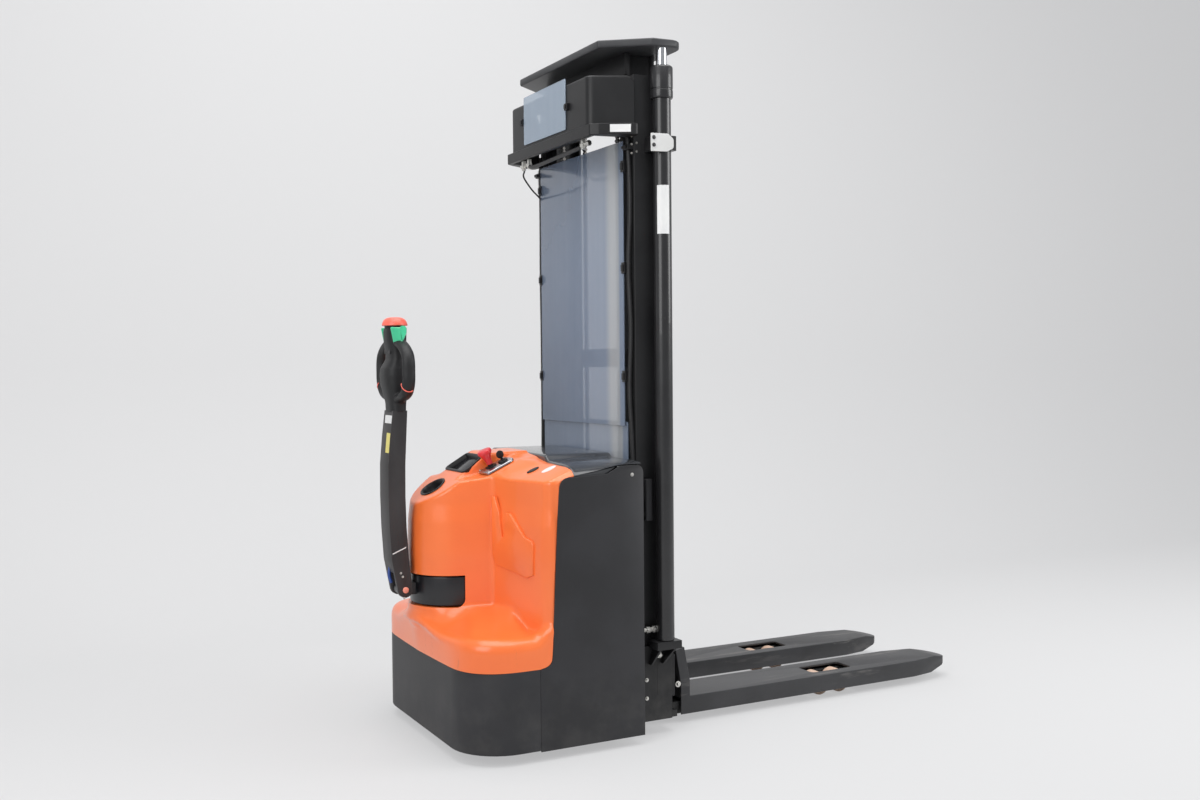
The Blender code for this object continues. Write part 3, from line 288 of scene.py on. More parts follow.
def taken(raw, name, body, finish, nodes=(), slot=None):
    """Freezes an object's modifiers into a plain mesh that rides on a body and stands for CAD nodes."""
    bpy.context.view_layer.update()
    evaluated = raw.evaluated_get(bpy.context.evaluated_depsgraph_get())
    mesh = bpy.data.meshes.new_from_object(evaluated, preserve_all_data_layers=True, depsgraph=bpy.context.evaluated_depsgraph_get())
    bpy.data.objects.remove(raw)
    mesh.name = name
    if finish is not None:
        mesh.materials.clear()
        mesh.materials.append(finish)
    piece = bpy.data.objects.new(name, mesh)
    scene.collection.objects.link(piece)
    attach(piece, body)
    if nodes:
        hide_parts(*nodes)
        slot = slot or frame["nodes"][nodes[0]].data.materials[0].name
    return piece


PANEL_COAT = coated("panel_coat", (0.024, 0.024, 0.026), (0.030, 0.030, 0.033), 0.50, dust=0.06)
eased("skirt", "front_skirt", "chassis", PANEL_COAT, 0.0015)


# ---- Front cover -------------------------------------------------------------------------------
# One large orange moulding in semi-gloss plastic: a low deck round the tail, the steering hump and
# the slanting walls behind it, blended into each other by generous radii and hollow behind.
COVER_SEAM_Z = 0.2803
STEER_X = -0.470
DASH_SLOPE = math.atan2(0.151, 0.228)
BEZEL_SLOPE = math.radians(25)


def rounded_plan(points, radii, steps=6):
    """A closed plan outline with each corner turned into an arc."""
    outline = []
    count = len(points)
    for i in range(count):
        before, here, after = (Vector(points[(i + k) % count]) for k in (-1, 0, 1))
        radius = radii[i]
        if radius <= 0:
            outline.append(tuple(here))
            continue
        into, out = (here - before).normalized(), (after - here).normalized()
        turn = into.angle(out)
        reach = min(radius * math.tan(turn / 2), 0.48 * (here - before).length, 0.48 * (after - here).length)
        start, end = here - into * reach, here + out * reach
        for k in range(steps + 1):
            t = k / steps
            outline.append(tuple((1 - t) ** 2 * start + 2 * t * (1 - t) * here + t * t * end))
    return outline


def moved_in(outline, inset):
    """The same outline moved inwards along its own normals."""
    count = len(outline)
    area = sum(outline[i][0] * outline[(i + 1) % count][1] - outline[(i + 1) % count][0] * outline[i][1] for i in range(count))
    moved = []
    for i, point in enumerate(outline):
        along = Vector(outline[(i + 1) % count]) - Vector(outline[i - 1])
        if along.length < 1e-9:
            along = Vector((0, 1))
        normal = Vector((-along.y, along.x)).normalized() * (1 if area > 0 else -1)
        moved.append(tuple(Vector(point) + normal * inset))
    return moved


def lofted(bm, rings):
    """Adds a closed solid through rings of equally many points, each ring a list of (x, y, z)."""
    made = [[bm.verts.new(point) for point in ring] for ring in rings]
    faces = [bm.faces.new(made[0]), bm.faces.new(list(reversed(made[-1])))]
    for low, high in zip(made, made[1:]):
        count = len(low)
        faces += [bm.faces.new((low[i], high[i], high[(i + 1) % count], low[(i + 1) % count])) for i in range(count)]
    bmesh.ops.recalc_face_normals(bm, faces=faces)
    return [vert for ring in made for vert in ring]


def stacked(bm, plan, levels):
    """A solid that follows a plan outline, pulled in by an inset at each height."""
    return lofted(bm, [[(x, y, z) for x, y in moved_in(plan, inset)] for inset, z in levels])


def loose(name, bm):
    """A mesh object at the truck's own place, before it rides on anything."""
    bmesh.ops.translate(bm, vec=(MAST_FACE, 0, 0), verts=bm.verts)
    mesh = bpy.data.meshes.new(name)
    bm.to_mesh(mesh)
    bm.free()
    obj = bpy.data.objects.new(name, mesh)
    scene.collection.objects.link(obj)
    return obj


def fitted(name, bm, body, finish, nodes=(), slot=None, flat=30, bevel=0.0, segments=2):
    """Turns a mesh in the truck's own lengths into a finished piece, smooth except at edges sharper than flat."""
    raw = loose(name + "_raw", bm)
    raw.data.shade_smooth()
    if bevel:
        edges = raw.modifiers.new("edges", "BEVEL")
        edges.width, edges.segments, edges.limit_method, edges.angle_limit = bevel, segments, "ANGLE", math.radians(flat)
        edges.harden_normals = True
    else:
        raw.data.set_sharp_from_angle(angle=math.radians(flat))
    return taken(raw, name, body, finish, nodes, slot)


def boolean(target, cutter, operation):
    modifier = target.modifiers.new(operation.lower(), "BOOLEAN")
    modifier.operation, modifier.object, modifier.solver = operation, cutter, "MANIFOLD"
    return modifier


def frozen(obj, *helpers):
    """Applies an object's modifiers in place and removes the cutters that they used."""
    bpy.context.view_layer.update()
    graph = bpy.context.evaluated_depsgraph_get()
    mesh = bpy.data.meshes.new_from_object(obj.evaluated_get(graph), depsgraph=graph)
    obj.modifiers.clear()
    obj.data = mesh
    for helper in helpers:
        bpy.data.objects.remove(helper)
    return obj


def tail_plan(inset=0.0, rear_x=-0.20):
    side = 0.4245
    return moved_in(rounded_plan([(rear_x, -side), (rear_x, side), (-0.583, side), (-0.583, -side)], [0, 0, 0.175, 0.175], 14), inset)


def upper_plan():
    """Round nose, waist, slanting walls and rounded shoulders, in plan."""
    nose = [(STEER_X + 0.145 * math.cos(a), 0.145 * math.sin(a)) for a in (math.radians(180 - 78 * i / 22) for i in range(23))]
    waist = rounded_plan([nose[-1], (-0.402, 0.168), (-0.338, 0.395), (-0.318, 0.4225), (-0.207, 0.4225)], [0, 0.010, 0.02, 0.02, 0], 8)
    half = nose[:-1] + waist
    return half + [(x, -y) for x, y in reversed(half) if abs(y) > 1e-6]


# the side sheets, their rear top corner rounded like an ear
for side in ("right", "left"):
    bm = bmesh.new()
    ear = [(-0.0239 + 0.024 * math.cos(a), 0.8531 + 0.024 * math.sin(a)) for a in (math.radians(10 * i) for i in range(10))]
    lofted(bm, [[(x, y, z) for x, z in ear + [(-0.0239, 0.95), (0.05, 0.95), (0.05, 0.8531)]] for y in (-0.6, 0.6)])
    eased(f"side_sheet_{side}", f"side_panel_{side}", "chassis", PANEL_COAT, 0.0012, cutters=[loose("ear_cut", bm)])


def along_dash(x, lift=0.0):
    return 0.757 + (x + 0.600) * math.tan(DASH_SLOPE) + lift


def side_solid(bm, outline, low, high):
    """A prism across the truck, from an (x, z) outline."""
    return lofted(bm, [[(x, y, z) for x, z in outline] for y in (low, high)])


def reach_along(outline, centre, angle):
    """How far an outline lies from a centre in one direction."""
    ray = Vector((math.cos(angle), math.sin(angle)))
    best = 0.0
    for i, point in enumerate(outline):
        a, b = Vector(outline[i - 1]) - centre, Vector(point) - centre
        edge = b - a
        cross = ray.x * edge.y - ray.y * edge.x
        if abs(cross) < 1e-12:
            continue
        share, distance = (a.x * ray.y - a.y * ray.x) / cross, (a.x * edge.y - a.y * edge.x) / cross
        if -1e-6 <= share <= 1 + 1e-6:
            best = max(best, distance)
    return best


def hull_of(points):
    """The convex outline round a set of plan points."""
    points = sorted(set(points))
    chains = []
    for run in (points, points[::-1]):
        chain = []
        for point in run:
            while len(chain) > 1 and (Vector(chain[-1]) - Vector(chain[-2])).cross(Vector(point) - Vector(chain[-2])) <= 0:
                chain.pop()
            chain.append(point)
        chains += chain[:-1]
    return chains


def deck_rings(drop=0.0, steps=240):
    """The deck's skin: a rounded outer edge, then a hollow slope up to the foot of the hump and walls."""
    centre = Vector((-0.33, 0.0))
    outer, inner = tail_plan(drop), upper_plan()
    nose = [(STEER_X + 0.157 * math.cos(a), 0.157 * math.sin(a)) for a in (math.tau * i / 64 for i in range(64))]
    rim_line = hull_of(tail_plan() + nose)
    edge = ((0.0, 0.22), (0.0, 0.340), (0.003, 0.354), (0.009, 0.364), (0.018, 0.371), (0.030, 0.376))
    shares = (0.15, 0.35, 0.55, 0.75, 0.9, 1.0)
    rings = [[] for _ in range(len(edge) + len(shares) + 1)]
    for k in range(steps):
        angle = math.tau * k / steps
        far, near = reach_along(outer, centre, angle), reach_along(inner, centre, angle)
        wide = max(reach_along(rim_line, centre, angle), near + 0.012) - drop
        tight = min(1.0, (wide - near) / 0.034)
        sideways = abs(near * math.sin(angle))
        fall = min(1.0, max(0.0, (sideways - 0.24) / 0.10))
        foot = 0.436 - 0.056 * fall * fall * (3 - 2 * fall)
        rim = 0.040 * (1 - min(1.0, (wide - near) / 0.13)) ** 2
        column = [((wide if z > 0.345 else far if z < 0.3 else (far + wide) / 2) - inset * tight, z + (rim if z > 0.3 else 0)) for inset, z in edge]
        start, low = column[-1]
        column += [(start + (near - start) * t, low + (foot - low) * t ** 1.35) for t in shares]
        column.append((near - 0.05, foot))
        for ring, (distance, z) in zip(rings, column):
            ring.append((centre.x + distance * math.cos(angle), distance * math.sin(angle), z - drop))
    return rings


# the shoulder's top, front to back, at stations from the display's side out to the side sheet
SHOULDER = [
    (0.083, [(-0.496, 0.826), (-0.408, 0.843), (-0.300, 0.893), (-0.240, 0.905), (-0.16, 0.908)]),
    (0.150, [(-0.496, 0.826), (-0.408, 0.838), (-0.300, 0.889), (-0.240, 0.898), (-0.16, 0.898)]),
    (0.182, [(-0.496, 0.826), (-0.404, 0.832), (-0.281, 0.889), (-0.240, 0.890), (-0.16, 0.890)]),
    (0.240, [(-0.496, 0.815), (-0.388, 0.828), (-0.262, 0.880), (-0.240, 0.881), (-0.16, 0.881)]),
    (0.375, [(-0.450, 0.800), (-0.333, 0.836), (-0.240, 0.8765), (-0.215, 0.8775), (-0.16, 0.8775)]),
    (0.405, [(-0.450, 0.795), (-0.333, 0.832), (-0.240, 0.8710), (-0.215, 0.8720), (-0.16, 0.8720)]),
    (0.425, [(-0.450, 0.780), (-0.333, 0.818), (-0.240, 0.8540), (-0.215, 0.8550), (-0.16, 0.8550)]),
    (0.600, [(-0.450, 0.700), (-0.333, 0.760), (-0.225, 0.800), (-0.200, 0.801), (-0.16, 0.801)]),
]


def cover_body():
    """The moulding's outer form, blended by a fine remesh and a few smoothing passes."""
    deck = bmesh.new()
    lofted(deck, deck_rings())
    body = loose("cover_body", deck)
    upper = bmesh.new()
    plan = upper_plan()
    stacked(upper, plan, [(0.030, 0.30), (0.030, 0.345), (0.004, 0.365), (0.0, 0.60), (0.003, 0.70), (0.010, 0.757), (0.012, 0.98)])
    upper = loose("cover_upper", upper)
    corner = bmesh.new()
    shoulder = rounded_plan([(-0.193, -0.4236), (-0.193, 0.4236), (-0.303, 0.4236), (-0.303, -0.4236)], [0, 0, 0.03, 0.03], 8)
    stacked(corner, shoulder, [(0.0, 0.21), (0.0, 0.99)])
    corner = loose("cover_corner", corner)
    tops = bmesh.new()
    ahead = (-0.75, along_dash(-0.75))
    side_solid(tops, [ahead, (-0.372, along_dash(-0.372)), (-0.15, 0.913), (-0.15, 1.3), (-0.75, 1.3)], -0.6, 0.6)
    middle_cut = loose("cover_middle_cut", tops)
    cutters = [middle_cut]
    for sign in (-1, 1):
        cut = bmesh.new()
        lofted(cut, [[(x, sign * y, z) for x, z in [ahead, *line, (-0.16, 1.3), (-0.75, 1.3)]] for y, line in SHOULDER])
        cutters.append(loose("cover_side_cut", cut))
    boolean(body, upper, "UNION")
    boolean(body, corner, "UNION")
    for cutter in cutters:
        boolean(body, cutter, "DIFFERENCE")
    frozen(body, upper, corner, *cutters)
    remesh = body.modifiers.new("blend", "REMESH")
    remesh.mode, remesh.voxel_size, remesh.use_smooth_shade = "VOXEL", 0.0050, True
    soften = body.modifiers.new("soften", "SMOOTH")
    soften.factor, soften.iterations = 0.5, 8
    return frozen(body)


def sheet_front(gap):
    """The side sheet's front edge, with a gap kept in front of it, closed well behind it."""
    top = [(-0.258 + (0.032 + gap) * math.cos(a), 0.818 + (0.032 + gap) * math.sin(a)) for a in (math.radians(90 + 85 * i / 6) for i in range(7))]
    foot = [(-0.346 + (0.028 - gap) * math.cos(a), 0.310 + (0.028 - gap) * math.sin(a)) for a in (math.radians(-80 * i / 5) for i in range(6))]
    line = [(-0.200, 0.850 + gap), *top, (-0.297 - gap, 0.724), (-0.317 - gap, 0.320), *foot, (-0.358 - gap, 0.280), (-0.358 - gap, 0.02)]
    return line + [(0.1, 0.02), (0.1, 0.850 + gap)]


def cover_room():
    """What is cut away from the moulding: everything behind its wall, the seams and the drum's slot."""
    cutters = []

    def add(build):
        bm = bmesh.new()
        build(bm)
        cutters.append(loose("cover_room", bm))

    # behind the wall, then below and behind the seams
    add(lambda bm: lofted(bm, deck_rings(0.012)))
    add(lambda bm: stacked(bm, moved_in(upper_plan(), 0.045), [(0, 0.40), (0, 0.47)]))
    add(lambda bm: stacked(bm, moved_in(upper_plan(), 0.008), [(0, 0.46), (0, 0.68), (0.02, 0.748)]))
    add(lambda bm: side_solid(bm, [(-0.9, 0.0), (0.3, 0.0), (0.3, COVER_SEAM_Z), (-0.9, COVER_SEAM_Z)], -0.6, 0.6))
    seam = [(-0.2405, 0.0), (-0.2405, 1.2), (0.3, 1.2), (0.3, 0.0)]
    add(lambda bm: side_solid(bm, seam, -0.6, 0.6))
    # the slot that the drum turns in, its mouth open to the front
    rings = []
    for half, z in ((74, 0.4325), (77.5, 0.4370), (80, 0.4430), (81.5, 0.4500), (82, 0.4580), (82, 0.5325)):
        mouth = [(STEER_X + 0.205 * math.cos(a), 0.205 * math.sin(a)) for a in (math.radians(180 - half + half * i / 12) for i in range(25))]
        rings.append([(x, y, z) for x, y in mouth + [(STEER_X + 0.02, 0)]])
    add(lambda bm: lofted(bm, rings))
    # a rebate that lets the side sheets lie flush over the moulding's edge
    sheet = sheet_front(0.002)
    for sign in (-1, 1):
        add(lambda bm: lofted(bm, [[(x, sign * y, z) for x, z in sheet] for y in (0.4195, 0.60)]))
    disc = [(STEER_X + 0.1405 * math.cos(a), 0.1405 * math.sin(a)) for a in (math.tau * i / 64 for i in range(64))]
    add(lambda bm: lofted(bm, [[(x, y, z) for x, y in disc] for z in (0.4325, 0.5325)]))
    well = [(STEER_X + 0.072 * math.cos(a), 0.072 * math.sin(a)) for a in (math.tau * i / 32 for i in range(32))]
    add(lambda bm: lofted(bm, [[(x, y, z) for x, y in well] for z in (0.30, 0.44)]))
    # the openings for the display and the tray
    add(lambda bm: surface_stack(bm, on_dash, moved_in(SCREEN, 0.002), [(0, -0.06), (0, 0.05)]))
    add(lambda bm: surface_stack(bm, on_dash, moved_in(TRAY, 0.002), [(0, -0.06), (0, 0.05)]))
    return cutters


def on_dash(x, y, lift):
    return tuple(Vector((x, y, along_dash(x))) + DASH_NORMAL * lift)


def surface_stack(bm, surface, outline, levels):
    """A solid standing on a sloping surface: an (x, y) outline, pulled in by an inset at each lift."""
    return lofted(bm, [[surface(x, y, lift) for x, y in moved_in(outline, inset)] for inset, lift in levels])


DASH_NORMAL = Vector((-math.sin(DASH_SLOPE), 0, math.cos(DASH_SLOPE)))
SCREEN = rounded_plan([(-0.462, -0.088), (-0.386, -0.070), (-0.386, 0.070), (-0.462, 0.088)], [0.016] * 4, 6)
TRAY = [(-0.534 + 0.036 * math.cos(a), (0.052 - 0.006 * math.cos(a)) * math.sin(a)) for a in (math.tau * i / 48 for i in range(48))]


def glossy_orange():
    def build(start, sockets):
        cloud = noise(start, 3.0, 3.0)
        fine = noise(start, 1400.0, 2.0)
        colour = cloud.band(0.3, 0.7).mixed((0.90, 0.170, 0.036), (0.95, 0.200, 0.047))
        height = start.node("SeparateXYZ", {}, {"Vector": place_of(start)}, 2)
        scuffs = noise(start, 60.0, 6.0, 0.7, (1.0, 1.0, 0.25)).band(0.60, 0.70) * (1 - height.band(0.30, 0.42)) * 0.35
        feed(start, sockets, "Base Color", scuffs.mixed(colour, (0.50, 0.16, 0.08)))
        feed(start, sockets, "Roughness", cloud * 0.08 + scuffs * 0.3 + 0.27)
        bumped(start, sockets, fine + noise(start, 90.0, 2.0) * 0.6, 0.05, 0.0008)
        sockets["Coat Weight"].default_value = 0.34
        sockets["Coat Roughness"].default_value = 0.07

    return solid_finish("orange_moulding", build)


def on_wall(along, z, lift):
    """A place on the right-hand slanting wall: along it, up it and out from it."""
    root, end = Vector((-0.402, -0.168)), Vector((-0.338, -0.395))
    line = (end - root).normalized()
    place = root + line * along + Vector((line.y, -line.x)) * lift
    return (place.x, place.y, z)


ORANGE = glossy_orange()
cover = cover_body()
rooms = cover_room()
for room in rooms:
    boolean(cover, room, "DIFFERENCE")
frozen(cover, *rooms)
cover.data.shade_smooth()
cover.data.set_sharp_from_angle(angle=math.radians(38))
skin = bmesh.new()
skin.from_mesh(cover.data)
COVER_SKIN = BVHTree.FromBMesh(skin)
skin.free()
taken(cover, "cover_shell", "chassis", ORANGE, ("front_cover",))
# the paper pocket stands a little proud of the right-hand wall, with a pen slot let into its top edge
bm = bmesh.new()
pocket = [(0.004, 0.600), (0.018, 0.567), (0.172, 0.541), (0.200, 0.552), (0.203, 0.645), (0.194, 0.656), (0.161, 0.664), (0.094, 0.731), (0.076, 0.731)]
pocket += [(0.073, 0.700), (0.060, 0.656), (0.054, 0.656), (0.045, 0.700), (0.041, 0.731), (0.018, 0.778), (0.004, 0.778)]
lofted(bm, [[on_wall(a, z, lift) for a, z in moved_in(pocket, inset)] for inset, lift in ((0, -0.006), (0, 0.0035), (0.0008, 0.0052), (0.0026, 0.0060))])
fitted("paper_pocket", bm, "chassis", ORANGE, slot="orange_cover", flat=50)


# ---- Dash --------------------------------------------------------------------------------------
# A black display in a raised frame, an oval tray below it, and a metal bezel on the right that
# carries the emergency stop and the key switch. The metal bezel is held by small screws.
BEZEL_NORMAL = Vector((-math.sin(BEZEL_SLOPE), 0, math.cos(BEZEL_SLOPE)))


def on_bezel(x, y, lift):
    return tuple(Vector((x, y, 0.846 + (x + 0.400) * math.tan(BEZEL_SLOPE) + (y + 0.14) * 0.08)) + BEZEL_NORMAL * lift)


def gloss(name, colour, rough, metallic=0.0, wear=0.0, worn=(0.5, 0.5, 0.5), scale=60.0, coat=0.0, stretch=None):
    """A smooth moulded, cast or machined finish with faint smears and a few fine scratches."""

    def build(start, sockets):
        smear = noise(start, scale * 0.3, 4.0, 0.6, stretch)
        fine = noise(start, scale * 8, 3.0, 0.6, stretch)
        lighter = tuple(min(1.0, c * 1.25 + 0.004) for c in colour)
        shade = smear.band(0.3, 0.7).mixed(colour, lighter)
        if wear:
            scratch = fine.band(0.62, 0.74) * wear
            shade = scratch.mixed(shade, worn)
        feed(start, sockets, "Base Color", shade)
        feed(start, sockets, "Roughness", smear * 0.14 + fine * 0.06 + (rough - 0.10))
        bumped(start, sockets, fine, 0.06, 0.0005)
        sockets["Metallic"].default_value = metallic
        sockets["Coat Weight"].default_value = coat

    return solid_finish(name, build)


BLACK_GLASS = gloss("display_glass", (0.004, 0.004, 0.006), 0.16, scale=20.0)
BLACK_PLASTIC = coated("black_plastic_grain", (0.008, 0.008, 0.009), (0.014, 0.014, 0.015), 0.42, grain=1600.0, relief=0.12)
SATIN_METAL = gloss("satin_metal", (0.42, 0.42, 0.44), 0.30, 1.0, 0.3, (0.25, 0.25, 0.26), stretch=(8.0, 1.0, 1.0))
ZINC = gloss("zinc_plate", (0.58, 0.57, 0.54), 0.34, 1.0, 0.4, (0.35, 0.33, 0.30))

bm = bmesh.new()
frame_levels = [(0.002, -0.016), (0.001, -0.002), (-0.001, 0.0005), (-0.001, 0.002), (0.0005, 0.0040), (0.003, 0.0046), (0.0055, 0.0036), (0.0085, -0.003), (0.011, -0.009)]
surface_stack(bm, on_dash, SCREEN, frame_levels)
fitted("display_frame", bm, "chassis", BLACK_PLASTIC, ("display",), flat=50)
bm = bmesh.new()
surface_stack(bm, on_dash, moved_in(SCREEN, 0.0115), [(0, -0.0100), (0, -0.0080), (0.001, -0.0072)])
fitted("display_window", bm, "chassis", BLACK_GLASS, slot="lid_plastic", flat=50)
bm = bmesh.new()
tray_levels = [(0.004, -0.036), (0.001, -0.004), (-0.001, 0.0005), (-0.001, 0.0020), (0.0005, 0.0035), (0.0030, 0.0038), (0.0050, 0.0025), (0.0075, -0.006)]
tray_levels += [(0.010, -0.018), (0.014, -0.026), (0.020, -0.030)]
surface_stack(bm, on_dash, TRAY, tray_levels)
fitted("tray_cup", bm, "chassis", BLACK_PLASTIC, slot="black_plastic", flat=60)

bm = bmesh.new()
bezel = rounded_plan([(-0.403, -0.145), (-0.306, -0.145), (-0.318, -0.080), (-0.413, -0.080)], [0.006, 0.020, 0.006, 0.012], 5)
surface_stack(bm, on_bezel, bezel, [(0, 0.0003), (0, 0.004), (0.001, 0.0055), (0.003, 0.006)])
fitted("switch_bezel", bm, "chassis", SATIN_METAL, ("dash_panel",), flat=50)


def turned(bm, base, axis, profile, steps=32):
    """A closed lathe form: profile is a list of (radius, height) from one end to the other."""
    base, axis = Vector(base), Vector(axis).normalized()
    across = axis.orthogonal().normalized()
    other = axis.cross(across)
    rings = []
    for radius, height in profile:
        rings.append([tuple(base + axis * height + (across * math.cos(a) + other * math.sin(a)) * max(radius, 1e-4)) for a in (math.tau * i / steps for i in range(steps))])
    return lofted(bm, rings)


bm = bmesh.new()
turned(bm, on_bezel(-0.374, -0.104, 0), BEZEL_NORMAL, [(0.019, 0.005), (0.019, 0.0075), (0.0175, 0.0085), (0.0082, 0.0087), (0.0080, 0.0180)])
turned(bm, on_bezel(-0.338, -0.118, 0), BEZEL_NORMAL, [(0.0165, 0.005), (0.0165, 0.009), (0.0150, 0.0115), (0.0125, 0.0115)])
fitted("switch_collars", bm, "chassis", BLACK_PLASTIC, slot="black_plastic", flat=40)
RED = gloss("stop_red", (0.62, 0.030, 0.038), 0.30, scale=40.0)
bm = bmesh.new()
mushroom = [(0.0, 0.0265), (0.0087, 0.0265), (0.0087, 0.0158), (0.0104, 0.0158), (0.0106, 0.026), (0.0120, 0.034), (0.0160, 0.043)]
mushroom += [(0.0215, 0.0515), (0.0230, 0.0535), (0.0235, 0.0560), (0.0232, 0.0610), (0.0218, 0.0635), (0.0185, 0.0648), (0.011, 0.0655), (0.0, 0.0658)]
turned(bm, on_bezel(-0.374, -0.104, 0), BEZEL_NORMAL, mushroom, 40)
fitted("stop_mushroom", bm, "estop_knob", RED, ("estop_knob",), flat=40)
bm = bmesh.new()
turned(bm, on_bezel(-0.338, -0.118, 0), BEZEL_NORMAL, [(0.0095, 0.003), (0.0095, 0.0125), (0.0085, 0.0135), (0.0, 0.0135)])
bow = [(0.0125 * math.cos(a), 0.031 + 0.0130 * math.sin(a)) for a in (math.tau * i / 28 for i in range(28))]
along = Vector((math.cos(BEZEL_SLOPE), 0, math.sin(BEZEL_SLOPE)))
root = Vector(on_bezel(-0.338, -0.118, 0))
rings = []
for inset, y in ((0.002, -0.0030), (0.0, -0.0015), (0.0, 0.0015), (0.002, 0.0030)):
    rings.append([tuple(root + along * a + BEZEL_NORMAL * b + Vector((0, y, 0))) for a, b in moved_in(bow, inset)])
lofted(bm, rings)
lofted(bm, [[tuple(root + along * a + BEZEL_NORMAL * b + Vector((0, y, 0))) for a, b in ((-0.004, 0.012), (0.004, 0.012), (0.004, 0.022), (-0.004, 0.022))] for y in (-0.0011, 0.0011)])
fitted("switch_key", bm, "key", BLACK_PLASTIC, ("key",), flat=40)

# a blind plug and a blank oval plate on the right shoulder
def on_shoulder(x, y, lift):
    hit = COVER_SKIN.ray_cast(Vector((x + MAST_FACE, y, 1.2)), Vector((0, 0, -1)))[0]
    return tuple(hit + Vector((-MAST_FACE, 0, 0)) + Vector((-0.37, -0.18, 1.0)).normalized() * lift)


def oval(cx, cy, long, wide, turn=0.0):
    points = [(long * math.cos(a), wide * math.sin(a)) for a in (math.tau * i / 40 for i in range(40))]
    c, n = math.cos(turn), math.sin(turn)
    return [(cx + c * x - n * y, cy + n * x + c * y) for x, y in points]


bm = bmesh.new()
surface_stack(bm, on_shoulder, oval(-0.302, -0.262, 0.020, 0.010, 0.0), [(0, -0.004), (0, 0.0022), (0.0012, 0.0034), (0.003, 0.0038)])
fitted("blind_plug", bm, "chassis", BLACK_PLASTIC, slot="black_plastic", flat=40)
BLANK_WHITE = coated("blank_white_film", (0.74, 0.74, 0.74), (0.80, 0.80, 0.79), 0.38, grain=300.0, relief=0.03)
bm = bmesh.new()
surface_stack(bm, on_shoulder, oval(-0.274, -0.318, 0.024, 0.014, 0.0), [(0, -0.003), (0, 0.0010), (0.0005, 0.0014)])
fitted("blank_oval_plate", bm, "chassis", BLANK_WHITE, slot="orange_cover", flat=40)


# ---- Battery lid -------------------------------------------------------------------------------
# A semi-gloss plastic lid, raised in the middle, whose flanges close down on to the side sheets.
LID = gloss("lid_gloss", (0.034, 0.036, 0.040), 0.24, scale=12.0, coat=0.6)
# half-width stations: (y, height at the front edge, height at the mast)
LID_TOP = [(0.0, 0.9050, 0.9048), (0.150, 0.9052, 0.9045), (0.200, 0.9052, 0.9040), (0.210, 0.9042, 0.9030), (0.218, 0.9008, 0.8998), (0.225, 0.8945, 0.8950)]
LID_TOP += [(0.231, 0.8890, 0.8918), (0.239, 0.8864, 0.8908), (0.262, 0.8853, 0.8906), (0.330, 0.8836, 0.8904), (0.360, 0.8815, 0.8900), (0.380, 0.8780, 0.8894)]
LID_TOP += [(0.394, 0.8730, 0.8886), (0.404, 0.8670, 0.8877), (0.411, 0.8610, 0.8868), (0.4162, 0.8545, 0.8860)]


def lid_slice(y, front, rear):
    """One slice of the lid from its front edge to the mast, closed underneath."""
    flange = abs(y) > 0.38
    low, low_rear = (0.8510, 0.8790) if flange else (front - 0.013, rear - 0.013)
    at = [front + (rear - front) * (x + 0.2385) / 0.234 for x in (-0.150, -0.085)]
    top = [(-0.2385, front - 0.006), (-0.2372, front - 0.0028), (-0.2340, front - 0.0006), (-0.2290, front), (-0.150, at[0]), (-0.085, at[1]), (-0.012, rear)]
    top += [(-0.0065, rear - 0.002), (-0.0045, rear - 0.006)]
    line = [(-0.2385, min(low, front - 0.026)), *top, (-0.0045, low_rear), (-0.085, low_rear), (-0.131, low), (-0.2290, low), (-0.2290, min(low, front - 0.026))]
    return [(x, y, z) for x, z in line]


bm = bmesh.new()
lofted(bm, [lid_slice(-y, *ends) for y, *ends in reversed(LID_TOP)] + [lid_slice(y, *ends) for y, *ends in LID_TOP[1:]])
fitted("lid_shell", bm, "battery_lid", LID, ("battery_lid",), flat=38)


# ---- Frame, battery and drive ------------------------------------------------------------------
# Welded plate frame behind the covers, the battery and the pump in it, and the drive unit with its
# rubber tyre and two sprung casters below.
STEEL_COAT = coated("frame_coat", (0.020, 0.020, 0.022), (0.030, 0.030, 0.032), 0.50, dust=0.5)
CAST = gloss("cast_iron", (0.070, 0.070, 0.072), 0.55, 0.5, 0.4, (0.16, 0.15, 0.14), scale=120.0)
BATTERY_CASE = coated("battery_case", (0.028, 0.028, 0.030), (0.040, 0.040, 0.042), 0.55, grain=500.0, dust=0.3, dust_top=1.0)
TYRE = coated("tyre_rubber", (0.014, 0.014, 0.014), (0.024, 0.023, 0.022), 0.72, grain=700.0, relief=0.25, dust=0.6, dust_top=0.2)
eased("frame_plates", "base_frame", "chassis", STEEL_COAT, 0.0012)
eased("battery_box", "battery", "chassis", BATTERY_CASE, 0.006, 3)
eased("pump_and_tank", "power_unit", "chassis", CAST, 0.003, 3)
eased("drive_casting", "drive_unit", "steering_unit", CAST, 0.002, 2)


def revolved(bm, base, axis, loop, steps=40):
    """A ring-shaped solid: loop is a closed list of (radius, height) turned about an axis."""
    base, axis = Vector(base), Vector(axis).normalized()
    across = axis.orthogonal().normalized()
    other = axis.cross(across)
    rings = []
    for i in range(steps):
        out = across * math.cos(math.tau * i / steps) + other * math.sin(math.tau * i / steps)
        rings.append([bm.verts.new(base + axis * height + out * radius) for radius, height in loop])
    faces = []
    for i, ring in enumerate(rings):
        after = rings[(i + 1) % steps]
        faces += [bm.faces.new((ring[k - 1], ring[k], after[k], after[k - 1])) for k in range(len(ring))]
    bmesh.ops.recalc_face_normals(bm, faces=faces)


